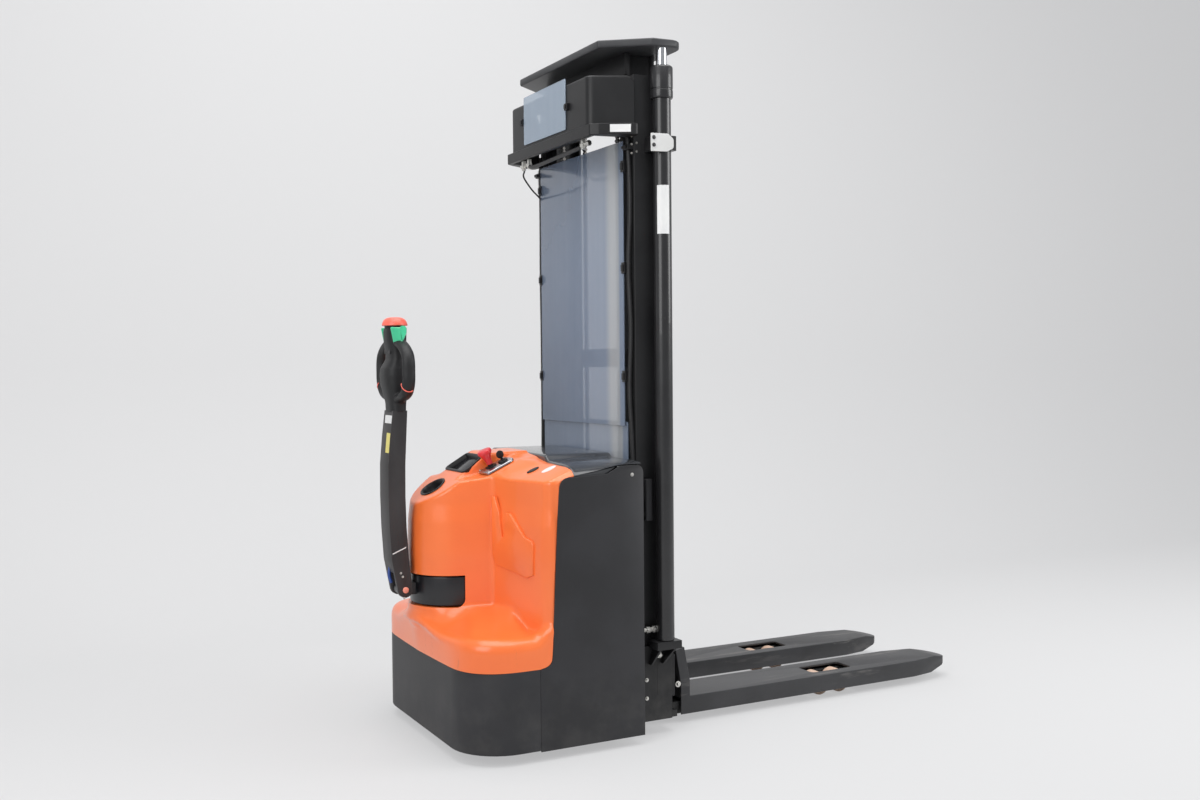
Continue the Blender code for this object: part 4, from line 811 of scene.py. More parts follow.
def wheel_loop(radius, half, bore, edge, hub=None, sink=0.004):
    """Half a wheel's section with rounded shoulders and a sunk side, mirrored to the other half."""
    hub = hub or radius * 0.55
    arc = [(radius - edge + edge * math.sin(a), half - edge + edge * math.cos(a)) for a in (math.pi / 2 * i / 4 for i in range(5))]
    side = [(bore, half - 0.0005), (hub * 0.55, half - 0.0005), (hub * 0.6, half - sink), (hub, half - sink), (hub + 0.003, half - 0.0003)]
    upper = side + arc
    return upper + [(r, -h) for r, h in reversed(upper)]


bm = bmesh.new()
revolved(bm, (STEER_X, 0, 0.098), (0, 1, 0), wheel_loop(0.098, 0.035, 0.0207, 0.010), 64)
fitted("drive_tyre", bm, "drive_wheel", TYRE, ("drive_wheel",), flat=40)
for side, sign in (("right", -1), ("left", 1)):
    eased(f"caster_yoke_{side}", f"caster_fork_{side}", f"caster_fork_{side}", ZINC, 0.0015)
    bm = bmesh.new()
    revolved(bm, (-0.372, sign * 0.290, 0.075), (0, 1, 0), wheel_loop(0.075, 0.020, 0.0087, 0.008), 48)
    fitted(f"caster_tyre_{side}", bm, f"caster_wheel_{side}", TYRE, (f"caster_wheel_{side}",), flat=40)


# ---- Tiller ------------------------------------------------------------------------------------
# A gloss black drum in the cover's slot with a tongue, a bowed sheet arm pinned to it, and a moulded
# head with two closed grips, a green butterfly throttle and a red belly button on top.
DRUM_BLACK = gloss("drum_black", (0.006, 0.006, 0.008), 0.30, scale=16.0, coat=0.12)
ARM_COAT = coated("arm_coat", (0.030, 0.028, 0.029), (0.042, 0.039, 0.040), 0.48)
HEAD_GRAIN = coated("head_grain", (0.014, 0.014, 0.015), (0.024, 0.024, 0.025), 0.50, grain=1500.0, relief=0.22)
PIVOT = (-0.645, 0.485)

bm = bmesh.new()
turned(bm, (STEER_X, 0, 0), (0, 0, 1), [(0.134, 0.4372), (0.1372, 0.4385), (0.138, 0.4415), (0.138, 0.5235), (0.1372, 0.5265), (0.134, 0.5278)], 96)
tongue = [(STEER_X, PIVOT[1] - 0.019), (STEER_X, PIVOT[1] + 0.019)]
tongue += [(PIVOT[0] + 0.019 * math.cos(a), PIVOT[1] + 0.019 * math.sin(a)) for a in (math.radians(90 + 15 * i) for i in range(13))]
lofted(bm, [[(x, y, z) for x, z in moved_in(tongue, inset)] for y, inset in ((-0.0258, 0.0015), (-0.0245, 0.0), (0.0245, 0.0), (0.0258, 0.0015))])
fitted("drum_and_tongue", bm, "steering_unit", DRUM_BLACK, ("tiller_base",), flat=35)
SALMON = gloss("pin_cap", (0.80, 0.28, 0.20), 0.35)
bm = bmesh.new()
for sign in (-1, 1):
    turned(bm, (PIVOT[0], sign * 0.0435, PIVOT[1]), (0, sign, 0), [(0.0088, 0.0), (0.0098, 0.0004), (0.0098, 0.0024), (0.0085, 0.0036), (0.005, 0.0042)], 24)
fitted("pin_caps", bm, "steering_unit", SALMON, slot="black_plastic", flat=50)
eased("arm_shell", "tiller_arm", "tiller", ARM_COAT, 0.007, 3)


def swept(bm, path, radius, sides=12, squash=1.0, flat_axis=(1, 0, 0)):
    """A closed tube along a path of points, stretched along one axis of its section."""
    path = [Vector(point) for point in path]
    axis = Vector(flat_axis)
    rings, before = [], None
    for i, point in enumerate(path):
        along = (path[min(i + 1, len(path) - 1)] - path[max(i - 1, 0)]).normalized()
        if before is None:
            first = axis - along * axis.dot(along)
            before = first.normalized() if first.length > 0.1 else along.orthogonal().normalized()
        first = (before - along * before.dot(along)).normalized()
        before = first
        second = along.cross(first)
        rings.append([tuple(point + first * math.cos(a) * radius * squash + second * math.sin(a) * radius) for a in (math.tau * k / sides for k in range(sides))])
    return lofted(bm, rings)


def smooth_path(points, steps=6):
    """Rounds a list of corner points into a flowing path."""
    points = [Vector(p) for p in points]
    path = []
    for i in range(len(points) - 1):
        p0, p1, p2, p3 = points[max(i - 1, 0)], points[i], points[i + 1], points[min(i + 2, len(points) - 1)]
        for k in range(steps):
            t = k / steps
            path.append(0.5 * ((2 * p1) + (p2 - p0) * t + (2 * p0 - 5 * p1 + 4 * p2 - p3) * t * t + (3 * p1 - p0 - 3 * p2 + p3) * t ** 3))
    return path + [points[-1]]


def tiller_head():
    """Egg-shaped body and two closed grips, blended into one moulding."""
    hub = bmesh.new()
    spans = [(1.0440, 0.0440, 0.0255), (1.0480, 0.0455, 0.0270), (1.0560, 0.0450, 0.0275), (1.0750, 0.0445, 0.0285), (1.1000, 0.0485, 0.0350), (1.1300, 0.0545, 0.0420)]
    spans += [(1.1600, 0.0570, 0.0450), (1.1820, 0.0555, 0.0430), (1.1980, 0.0500, 0.0330), (1.2120, 0.0460, 0.0250), (1.2300, 0.0445, 0.0250), (1.2500, 0.0445, 0.0290)]
    spans += [(1.2700, 0.0440, 0.0320), (1.2980, 0.0430, 0.0330), (1.3090, 0.0405, 0.0305)]
    rings = []
    for z, wide, deep in spans:
        ring = []
        for i in range(32):
            a = math.tau * i / 32
            ring.append((-0.655 + math.copysign(abs(math.cos(a)) ** 0.72, math.cos(a)) * deep, math.copysign(abs(math.sin(a)) ** 0.72, math.sin(a)) * wide, z))
        rings.append(ring)
    lofted(hub, rings)
    hub = loose("head_hub", hub)
    loops = []
    for sign in (-1, 1):
        bm = bmesh.new()
        line = [(0.020, 1.080), (0.055, 1.0905), (0.088, 1.0975), (0.113, 1.112), (0.1285, 1.140), (0.1300, 1.172), (0.1290, 1.202)]
        line += [(0.1190, 1.2240), (0.0960, 1.2420), (0.0660, 1.2560), (0.030, 1.2660)]
        swept(bm, smooth_path([(-0.655, sign * y, z) for y, z in line], 4), 0.0145, 16, 1.42)
        loops.append(loose("head_loop", bm))
    for loop in loops:
        boolean(hub, loop, "UNION")
    frozen(hub, *loops)
    remesh = hub.modifiers.new("blend", "REMESH")
    remesh.mode, remesh.voxel_size, remesh.use_smooth_shade = "VOXEL", 0.0026, True
    soften = hub.modifiers.new("soften", "SMOOTH")
    soften.factor, soften.iterations = 0.5, 5
    return frozen(hub)


head = taken(tiller_head(), "head_moulding", "tiller", HEAD_GRAIN, ("tiller_head",))
head.data.shade_smooth()
# a thin red line laid along the lower inside of each grip
BELLY_RED = gloss("belly_red", (0.84, 0.130, 0.090), 0.34, scale=40.0)
bm = bmesh.new()
for sign in (-1, 1):
    line = [(-0.655 - 0.0208 * math.cos(a), sign * (0.1195 + 0.0136 * math.sin(a)), 1.128 - 0.018 * math.sin(a)) for a in (math.radians(-25 + 15 * i) for i in range(11))]
    swept(bm, line, 0.0017, 8)
fitted("grip_lines", bm, "tiller", BELLY_RED, slot="red_plastic", flat=60)
GREEN = gloss("throttle_green", (0.055, 0.52, 0.27), 0.34, scale=40.0)
bm = bmesh.new()
turned(bm, (-0.655, -0.052, 1.284), (0, 1, 0), [(0.0088, 0), (0.0088, 0.104)], 24)
for sign in (-1, 1):
    stations = [(0.0452, -0.6840, -0.6350, 0.0010), (0.0462, -0.6850, -0.6340, 0.0), (0.0600, -0.6810, -0.6360, 0.0), (0.0700, -0.6730, -0.6400, 0.0010)]
    stations += [(0.0780, -0.6660, -0.6460, 0.0030), (0.0815, -0.6610, -0.6510, 0.0055)]
    rings = []
    for y, front, rear, inset in stations:
        wing = rounded_plan([(front + 0.010, 1.2640), (rear - 0.016, 1.2640), (rear, 1.2960), (rear, 1.3135), (front, 1.3135)], [0.004, 0.006, 0.006, 0.003, 0.004], 5)
        rings.append([(x, sign * y, z - abs(y) * 0.06) for x, z in moved_in(wing, inset)])
    lofted(bm, rings)
fitted("butterfly", bm, "throttle", GREEN, ("throttle",), flat=40)
bm = bmesh.new()
cap = [(-0.655 + 0.0400 * math.cos(a), 0.0430 * math.sin(a)) for a in (math.tau * i / 40 for i in range(40))]
stacked(bm, cap, [(0.0070, 1.3300), (0.0065, 1.3160), (0.002, 1.3158), (0.0, 1.3170), (0.0, 1.3200), (0.0025, 1.3280), (0.0070, 1.3350), (0.0130, 1.3395), (0.021, 1.3422), (0.030, 1.3430)])
fitted("belly_cap", bm, "belly_button", BELLY_RED, ("belly_button",), flat=50)
# the fixed seat that the cap slides over
bm = bmesh.new()
stacked(bm, cap, [(0.0085, 1.3000), (0.0085, 1.3215), (0.0100, 1.3225)])
fitted("belly_cap_seat", bm, "tiller", HEAD_GRAIN, slot="black_plastic", flat=50)
for name, (y, z) in {"lift_button": (0.020, 1.236), "lower_button": (-0.020, 1.236), "horn_button": (0.0, 1.196)}.items():
    bm = bmesh.new()
    turned(bm, (-0.6722, y, z), (-1, 0, 0), [(0.0098, 0), (0.0098, 0.0068), (0.0090, 0.0080), (0.0070, 0.0086)], 28)
    fitted(f"{name}_cap", bm, name, BLACK_PLASTIC, (name,), flat=40)

# blank stickers, a white band and the blue lead that runs down behind the foot of the arm
BLANK_YELLOW = coated("blank_yellow_film", (0.72, 0.62, 0.16), (0.80, 0.70, 0.20), 0.42, grain=300.0, relief=0.03)


def block(bm, low, high):
    """A plain box between two corners; fitted() then bevels it."""
    return lofted(bm, [[(low[0], low[1], z), (high[0], low[1], z), (high[0], high[1], z), (low[0], high[1], z)] for z in (low[2], high[2])])


ARM_FACE = [(0.780, -0.6965), (0.880, -0.6955), (0.970, -0.6875), (1.0497, -0.6780)]


def arm_face(z):
    """Front face of the arm at a height."""
    for (z0, x0), (z1, x1) in zip(ARM_FACE, ARM_FACE[1:]):
        if z <= z1:
            return x0 + (x1 - x0) * (z - z0) / (z1 - z0)
    return ARM_FACE[-1][1]


for name, finish, y0, y1, z0, z1 in (("sticker", BLANK_YELLOW, -0.038, -0.004, 0.918, 0.980), ("label", BLANK_WHITE, -0.0375, 0.026, 1.010, 1.035)):
    bm = bmesh.new()
    lofted(bm, [[(arm_face(z) - lift, y, z) for y, z in ((y0, z0), (y1, z0), (y1, z1), (y0, z1))] for lift in (-0.0005, 0.0006)])
    fitted(f"blank_{name}", bm, "tiller", finish, slot="black_plastic", bevel=0.0002, segments=1)
bm = bmesh.new()
lofted(bm, [[(x, y, z + lift) for x, z in ((-0.686, 0.600), (-0.642, 0.618), (-0.642, 0.6215), (-0.686, 0.6035))] for y, lift in ((-0.0440, 0), (-0.0428, 0))])
fitted("white_band", bm, "tiller", BLANK_WHITE, slot="black_plastic", bevel=0.0003, segments=1)
BLUE_LEAD = gloss("blue_lead", (0.025, 0.060, 0.24), 0.40)
bm = bmesh.new()
swept(bm, smooth_path([(-0.664, 0.012, 0.585), (-0.676, 0.010, 0.560), (-0.682, 0.006, 0.530), (-0.676, 0.004, 0.505)], 6), 0.0055, 12)
fitted("blue_lead_run", bm, "tiller", BLUE_LEAD, slot="black_plastic", flat=60)


# ---- Mast --------------------------------------------------------------------------------------
# Two fixed channels with a welded head and foot, chromed rams in painted cylinders outside them,
# and an inner frame that rises between them under a thick top plate.
MAST_PAINT = coated("mast_paint_black", (0.010, 0.010, 0.011), (0.016, 0.016, 0.017), 0.42, dust=0.10)
TOP_PAINT = coated("top_plate_paint", (0.034, 0.035, 0.038), (0.048, 0.049, 0.052), 0.44, grain=500.0, relief=0.16)
CHROME = gloss("chromed_ram", (0.62, 0.63, 0.65), 0.12, 1.0, 0.15, (0.4, 0.4, 0.42), scale=30.0, stretch=(1.0, 1.0, 0.2))
CHAIN_STEEL = gloss("oiled_chain", (0.20, 0.19, 0.18), 0.38, 0.9, 0.5, (0.07, 0.06, 0.05), scale=300.0)
CYLINDER_PAINT = gloss("cylinder_paint", (0.010, 0.010, 0.011), 0.32, scale=20.0, coat=0.35, wear=0.15, worn=(0.12, 0.12, 0.12))
for side, sign in (("right", -1), ("left", 1)):
    eased(f"outer_channel_{side}", f"mast_channel_{side}", "chassis", MAST_PAINT, 0.0025, 3)
eased("mast_head_beam", "mast_head", "chassis", MAST_PAINT, 0.003, 3)
foot_cuts = []
for sign in (-1, 1):
    bm = bmesh.new()
    lofted(bm, [[(x, sign * y, z) for x, y in ((0.070, 0.3568), (0.155, 0.3568), (0.155, 0.450), (0.070, 0.450))] for z in (0.100, 0.2846)])
    foot_cuts.append(loose("foot_cut", bm))
eased("mast_foot_weldment", "mast_foot", "chassis", MAST_PAINT, 0.002, 2, cutters=foot_cuts)
# two leaning ribs hold each cylinder's cup
bm = bmesh.new()
for sign in (-1, 1):
    for high, low in ((0.069, 0.053), (0.124, 0.096)):
        rings = []
        for x, reach, z in ((low, 0.372, 0.232), (high, 0.404, 0.2858)):
            rings.append([(x, sign * 0.3555, z), (x + 0.008, sign * 0.3555, z), (x + 0.008, sign * reach, z), (x, sign * reach, z)])
        lofted(bm, rings)
fitted("foot_ribs", bm, "chassis", MAST_PAINT, slot="mast_paint", bevel=0.0012)
# a small cover over the height switch on each channel
bm = bmesh.new()
for sign in (-1, 1):
    cover_plan = rounded_plan([(0.043, sign * 0.3452), (0.068, sign * 0.3452), (0.068, sign * 0.3655), (0.043, sign * 0.3655)], [0, 0, 0.006, 0.006], 4)
    stacked(bm, cover_plan, [(0.0012, 0.692), (0.0, 0.6932), (0.0, 0.8228), (0.0012, 0.824)])
fitted("switch_covers", bm, "chassis", PANEL_COAT, slot="mast_paint", flat=40)
eased("inner_frame", "inner_mast", "lifting_mast", MAST_PAINT, 0.0015, 2)
eased("top_plate_slab", "top_plate", "lifting_mast", TOP_PAINT, 0.006, 4)
LABEL_GREY = coated("clamp_plate", (0.62, 0.62, 0.61), (0.70, 0.70, 0.69), 0.42, grain=300.0, relief=0.05)
for side, sign in (("right", -1), ("left", 1)):
    ram = (0.101, sign * 0.382, 0.0)
    bm = bmesh.new()
    tube = [(0.0186, 2.124), (0.0186, 0.402), (0.0, 0.402), (0.0, 0.3106), (0.0265, 0.3106), (0.029, 0.3130), (0.029, 2.020)]
    tube += [(0.0345, 2.022), (0.036, 2.026), (0.036, 2.046), (0.0345, 2.048), (0.0345, 2.051), (0.036, 2.053), (0.036, 2.116), (0.0345, 2.120), (0.030, 2.1236)]
    tube = [(max(r, 1e-4), z) for r, z in tube]
    turned(bm, ram, (0, 0, 1), tube, 40)
    low, high = sorted((sign * 0.3456, sign * 0.4140))
    for z in (1.857,):
        block(bm, (0.060, low, z), (0.134, high, z + 0.046))
    fitted(f"ram_cylinder_{side}", bm, "chassis", CYLINDER_PAINT, (f"lift_cylinder_{side}",), flat=35)
    bm = bmesh.new()
    turned(bm, (0.101, sign * 0.382, 0), (0, 0, 1), [(0.0160, 0.4105), (0.0174, 0.412), (0.0174, 2.1796)], 36)
    fitted(f"ram_rod_{side}", bm, "lifting_mast", CHROME, (f"lift_rod_{side}",), flat=35)
    bm = bmesh.new()
    face = rounded_plan([(0.042, 1.8500), (0.100, 1.8520), (0.124, 1.8640), (0.124, 1.8930), (0.104, 1.9080), (0.042, 1.9060)], [0.003, 0.012, 0.012, 0.012, 0.012, 0.003], 5)
    lofted(bm, [[(x, sign * y, z) for x, z in moved_in(face, inset)] for y, inset in ((0.4130, 0.0), (0.4155, 0.0), (0.4162, 0.0008))])
    fitted(f"clamp_face_{side}", bm, "chassis", LABEL_GREY, slot="mast_paint", flat=40)
    eased(f"pulley_{side}", f"chain_pulley_{side}", f"chain_pulley_{side}", CHAIN_STEEL, 0.0022, 3)
    eased(f"guide_roller_{side}", f"mast_roller_{side}", f"mast_roller_{side}", CHAIN_STEEL, 0.0015)
    eased(f"carriage_guide_roller_{side}", f"carriage_roller_{side}", f"carriage_roller_{side}", CHAIN_STEEL, 0.0015)


# ---- Chains ------------------------------------------------------------------------------------
# Leaf chain: rows of figure-eight plates on pins.
def grower(name, **sizes):
    """A Geometry Nodes tree with one named input for each size, and the finish last."""
    tree = bpy.data.node_groups.new(name, "GeometryNodeTree")
    tree.interface.new_socket("Geometry", in_out="INPUT", socket_type="NodeSocketGeometry")
    for label, value in sizes.items():
        kind = "NodeSocketInt" if isinstance(value, int) else "NodeSocketFloat"
        tree.interface.new_socket(label, in_out="INPUT", socket_type=kind).default_value = value
    tree.interface.new_socket("Finish", in_out="INPUT", socket_type="NodeSocketMaterial")
    tree.interface.new_socket("Geometry", in_out="OUTPUT", socket_type="NodeSocketGeometry")
    group = tree.nodes.new("NodeGroupInput")
    return Wire(tree), {socket.name: Wire(tree, socket) for socket in group.outputs if socket.name}


def ended(start, geometry, given):
    """Turns the instances into real mesh, gives them their finish and closes the tree."""
    whole = start.node("GeometryNodeRealizeInstances", {}, {"Geometry": geometry})
    whole = start.node("GeometryNodeSetMaterial", {}, {"Geometry": whole, "Material": given["Finish"]})
    start.tree.links.new(whole.socket, start.tree.nodes.new("NodeGroupOutput").inputs["Geometry"])
    return start.tree


def grown(name, tree, points, aims, body, finish, slot, edges=(), flat=35, **sizes):
    """Runs a tree on a set of points, each with its own aim, and keeps the plain mesh that comes out."""
    bm = bmesh.new()
    layer = bm.verts.layers.float_vector.new("aim")
    verts = []
    for point, aim in zip(points, aims):
        vert = bm.verts.new(point)
        vert[layer] = Vector(aim)
        verts.append(vert)
    for a, b in edges:
        bm.edges.new((verts[a], verts[b]))
    raw = loose(name + "_raw", bm)
    modifier = raw.modifiers.new("grow", "NODES")
    modifier.node_group = tree
    sizes["Finish"] = finish
    for item in tree.interface.items_tree:
        if item.in_out == "INPUT" and item.name in sizes:
            modifier[item.identifier] = sizes[item.name]
    piece = taken(raw, name, body, None, (), slot)
    piece.data.shade_smooth()
    piece.data.set_sharp_from_angle(angle=math.radians(flat))
    return piece


def moved_to(start, geometry, x=0.0, y=0.0, z=0.0):
    place = start.node("CombineXYZ", {}, {0: x, 1: y, 2: z})
    return start.node("GeometryNodeTransform", {}, {"Geometry": geometry, "Translation": place})


def leaf_chain():
    """Plates across the chain, one row inside the other, repeated up the run at twice the pitch."""
    start, given = grower("leaf_chain", Pitch=0.0127, Width=0.018, Depth=0.011, Pairs=60)
    pitch, width, depth = given["Pitch"], given["Width"], given["Depth"]
    plate = start.node("GeometryNodeMeshCylinder", {}, {"Vertices": 10, "Radius": depth * 0.5, "Depth": width * 0.115})
    plate = start.node("GeometryNodeTransform", {}, {"Geometry": plate, "Rotation": (math.pi / 2, 0, 0), "Scale": (1.0, 1.0, 2.05)})
    rows = []
    for count, lift in ((4, 0.5), (3, 1.5)):
        gap = start.node("CombineXYZ", {}, {1: width * 0.27})
        line = start.node("GeometryNodeMeshLine", {}, {"Count": count, "Offset": gap})
        line = moved_to(start, line, y=width * (-0.135 * (count - 1)), z=pitch * lift)
        rows.append(start.node("GeometryNodeInstanceOnPoints", {}, {"Points": line, "Instance": plate}))
    pin = start.node("GeometryNodeMeshCylinder", {}, {"Vertices": 8, "Radius": depth * 0.2, "Depth": width})
    pin = start.node("GeometryNodeTransform", {}, {"Geometry": pin, "Rotation": (math.pi / 2, 0, 0)})
    pins = [pin, moved_to(start, pin, z=pitch * 1.0)]
    unit = start.node("GeometryNodeJoinGeometry", {}, {"Geometry": rows + pins})
    rise = start.node("CombineXYZ", {}, {2: pitch * 2.0})
    run = start.node("GeometryNodeMeshLine", {}, {"Count": given["Pairs"], "Offset": rise})
    repeated = start.node("GeometryNodeInstanceOnPoints", {}, {"Points": run, "Instance": unit})
    spots = start.node("GeometryNodeInstanceOnPoints", {}, {"Points": given["Geometry"], "Instance": repeated})
    return ended(start, spots, given)


CHAIN = leaf_chain()
for side, sign in (("right", -1), ("left", 1)):
    hold = grown(f"chain_to_mast_{side}", CHAIN, [(0.041, sign * 0.200, 0.487)], [(0, 0, 1)], "lifting_mast", CHAIN_STEEL, None, Pairs=62)
    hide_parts(f"chain_hold_{side}")
    lift = grown(f"chain_to_carriage_{side}", CHAIN, [(0.127, sign * 0.200, 0.6280)], [(0, 0, 1)], "lifting_mast", CHAIN_STEEL, None, Pairs=57)
    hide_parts(f"chain_lift_{side}")
    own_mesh(lift)


# ---- Shroud and guards -------------------------------------------------------------------------
# A folded sheet shroud round the mast head with a pale window and a black ledge under it, and two
# clear polycarbonate sheets that hang from small clips in front of the rails.
def clear_sheet(name, colour, pale, alpha):
    """Tinted plastic sheet: faint cloudiness, and a painted reflection, a paler band down its right-hand third."""

    def build(start, sockets):
        cloud = noise(start, 2.2, 4.0, 0.6)
        streak = noise(start, 20.0, 3.0, 0.5, (0.5, 1.0, 0.05))
        across = start.node("SeparateXYZ", {}, {"Vector": place_of(start)}, 1)
        # painted reflection: a soft paler band across the sheet's right-hand part, mixed towards the pale colour
        band = across.band(-0.285, -0.270) * (1 - across.band(-0.225, -0.175)) * 0.8
        share = band + streak * 0.12 + cloud * 0.12
        feed(start, sockets, "Base Color", share.mixed(colour, pale))
        feed(start, sockets, "Alpha", cloud * 0.16 + streak * 0.06 + (alpha - 0.11))
        feed(start, sockets, "Roughness", cloud * 0.12 + 0.06)
        bumped(start, sockets, cloud, 0.05, 0.002)

    return solid_finish(name, build)


CLEAR = clear_sheet("clear_guard_sheet", (0.200, 0.260, 0.370), (0.42, 0.44, 0.46), 0.66)
WINDOW = clear_sheet("pale_window", (0.36, 0.44, 0.54), (0.50, 0.56, 0.62), 0.62)


def shroud_plan(inset, rear_x=0.018):
    half = 0.296 + (rear_x + 0.116) * 0.42
    corners = [(-0.116, -0.296), (rear_x, -half), (rear_x, half), (-0.116, 0.296)]
    return moved_in(rounded_plan(corners, [0.030, 0, 0, 0.030], 8), inset)


# the shell is open at the back and below, and its rear top corners are rounded off
bm = bmesh.new()
stacked(bm, shroud_plan(0), [(0.0, 1.9375), (0.0, 2.0860), (0.0012, 2.0900), (0.0045, 2.0932), (0.0085, 2.0940)])
shell = loose("shroud_shell", bm)
cutters = []
bm = bmesh.new()
stacked(bm, shroud_plan(0.004, 0.12), [(0.0, 1.80), (0.0, 2.0900)])
cutters.append(loose("shroud_room", bm))
for sign in (-1, 1):
    bm = bmesh.new()
    corner = [(0.060, 2.20), (-0.012, 2.20), (-0.012, 2.094)]
    corner += [(-0.012 + 0.0305 * math.sin(a), 2.0635 + 0.0305 * math.cos(a)) for a in (math.radians(10 * i) for i in range(1, 10))] + [(0.060, 2.0635)]
    lofted(bm, [[(x, y, z) for x, z in corner] for y in sorted((sign * 0.30, sign * 0.42))])
    cutters.append(loose("shroud_corner", bm))
bm = bmesh.new()
hatch = rounded_plan([(-0.128, 1.962), (0.165, 1.962), (0.165, 2.080), (-0.128, 2.080)], [0.01] * 4, 4)
lofted(bm, [[(x, y, z) for y, z in hatch] for x in (-0.15, -0.10)])
cutters.append(loose("shroud_hatch", bm))
for cutter in cutters:
    boolean(shell, cutter, "DIFFERENCE")
frozen(shell, *cutters)
shell.data.shade_smooth()
shell.data.set_sharp_from_angle(angle=math.radians(35))
taken(shell, "shroud_sheet", "chassis", MAST_PAINT, ("mast_shroud",))
bm = bmesh.new()
ledge_out = rounded_plan([(-0.123, -0.318), (-0.100, -0.337), (0.018, -0.400), (0.018, 0.400), (-0.100, 0.337), (-0.123, 0.318)], [0.012, 0.02, 0.02, 0.02, 0.02, 0.012], 5)
stacked(bm, ledge_out, [(0.0015, 1.9035), (0.0, 1.9050), (0.0, 1.9365), (0.0015, 1.9380)])
ledge = loose("ledge", bm)
bm = bmesh.new()
stacked(bm, [(-0.108, -0.306), (0.12, -0.345), (0.12, 0.345), (-0.108, 0.306)], [(0.0, 1.85), (0.0, 1.99)])
inside = loose("ledge_inside", bm)
boolean(ledge, inside, "DIFFERENCE")
frozen(ledge, inside)
ledge.data.shade_smooth()
ledge.data.set_sharp_from_angle(angle=math.radians(35))
taken(ledge, "shroud_ledge", "chassis", MAST_PAINT, slot="mast_paint")
eased("upper_guard", "guard_panel", "chassis", CLEAR, 0.0010, 2)
# the lower sheet reaches up behind the foot of the upper one
bm = bmesh.new()
outline = rounded_plan([(-0.3098, 0.8752), (0.3098, 0.8752), (0.3098, 1.0060), (-0.3098, 1.0060)], [0.004, 0.004, 0.010, 0.010], 4)
lofted(bm, [[(x, y, z) for y, z in moved_in(outline, inset)] for x, inset in ((0.0090, 0.0006), (0.0096, 0.0), (0.0124, 0.0), (0.0130, 0.0006))])
fitted("lower_guard_sheet", bm, "chassis", CLEAR, ("lower_guard",), flat=30)
bm = bmesh.new()
outline = rounded_plan([(-0.143, 1.949), (0.180, 1.949), (0.180, 2.113), (-0.143, 2.113)], [0.006] * 4, 4)
lofted(bm, [[(x, y, z) for y, z in moved_in(outline, inset)] for x, inset in ((-0.1166, 0.0008), (-0.1174, 0.0), (-0.1196, 0.0), (-0.1204, 0.0008))])
fitted("shroud_window", bm, "chassis", WINDOW, slot="clear_guard", flat=30)


def clip(bm, x, y, z, wide=0.016, tall=0.024, deep=0.012):
    """A folded clip: a base, a lip over the sheet's edge and a raised middle."""
    block(bm, (x - deep, y - wide / 2, z - tall / 2), (x, y + wide / 2, z + tall / 2))
    block(bm, (x - deep * 1.35, y - wide * 0.32, z - tall * 0.30), (x - deep * 0.9, y + wide * 0.32, z + tall * 0.30))


bm = bmesh.new()
for z in (1.815, 1.150, 1.494):
    for sign in (-1, 1):
        clip(bm, 0.0100, sign * 0.3075, z, 0.020, 0.036, 0.013)
for y, z in ((0.192, 2.030), (-0.155, 2.020)):
    clip(bm, -0.1155, y, z, 0.020, 0.022, 0.010)
for sign in (-1, 1):
    clip(bm, 0.020, sign * 0.327, 1.872, 0.034, 0.016, 0.022)
    block(bm, (0.004, sign * 0.3300 - 0.010, 0.706), (0.026, sign * 0.3300 + 0.010, 0.838))
    block(bm, (0.000, sign * 0.3300 - 0.012, 0.828), (0.028, sign * 0.3300 + 0.012, 0.842))
fitted("guard_clips", bm, "chassis", BLACK_PLASTIC, slot="black_plastic", flat=30, bevel=0.0012)


# ---- Hoses, conduit and fittings ---------------------------------------------------------------
# Zinc unions under the ledge with a hose between them, ridged conduit clipped down the channel, and
# the pressure hoses at the foot of each ram.
HOSE = gloss("hose_rubber", (0.014, 0.014, 0.015), 0.45, scale=200.0)
bm = bmesh.new()
runs = [[(-0.098, 0.186, 1.880), (-0.101, 0.150, 1.872), (-0.103, 0.060, 1.872), (-0.103, -0.060, 1.876), (-0.101, -0.170, 1.880), (-0.098, -0.212, 1.884)]]
for sign in (-1, 1):
    runs.append([(0.022, sign * 0.366, 0.345), (0.014, sign * 0.364, 0.344), (0.006, sign * 0.358, 0.336), (0.004, sign * 0.352, 0.320)])
for run in runs:
    swept(bm, smooth_path(run, 5), 0.0068, 10)
swept(bm, smooth_path([(-0.096, 0.232, 1.868), (-0.085, 0.262, 1.852), (-0.040, 0.292, 1.815), (0.004, 0.306, 1.780), (0.010, 0.310, 1.740)], 5), 0.0030, 8)
fitted("fixed_hoses", bm, "chassis", HOSE, slot="black_plastic", flat=60)
bm = bmesh.new()
for x, y, z in ((-0.098, 0.232, 1.900), (-0.098, 0.186, 1.900), (-0.098, -0.226, 1.903)):
    turned(bm, (x, y, z + 0.004), (0, 0, -1), [(0.0080, 0), (0.0080, 0.014), (0.0105, 0.015), (0.0105, 0.026), (0.0075, 0.027), (0.0075, 0.034)], 6)
    turned(bm, (x, y, z - 0.012), (0.3, 1 if y > 0 else -1, 0), [(0.0062, 0), (0.0062, 0.020), (0.0095, 0.021), (0.0095, 0.031), (0.0, 0.031)], 6)
for sign in (-1, 1):
    profile = [(0.0070, 0), (0.0070, 0.022), (0.0110, 0.023), (0.0110, 0.036), (0.0085, 0.037), (0.0085, 0.044), (0.0120, 0.045), (0.0120, 0.058), (0.0080, 0.059)]
    turned(bm, (0.016, sign * 0.366, 0.345), (1, 0, 0), profile, 6)
fitted("zinc_unions", bm, "chassis", ZINC, slot="bright_steel", flat=20, bevel=0.0006)


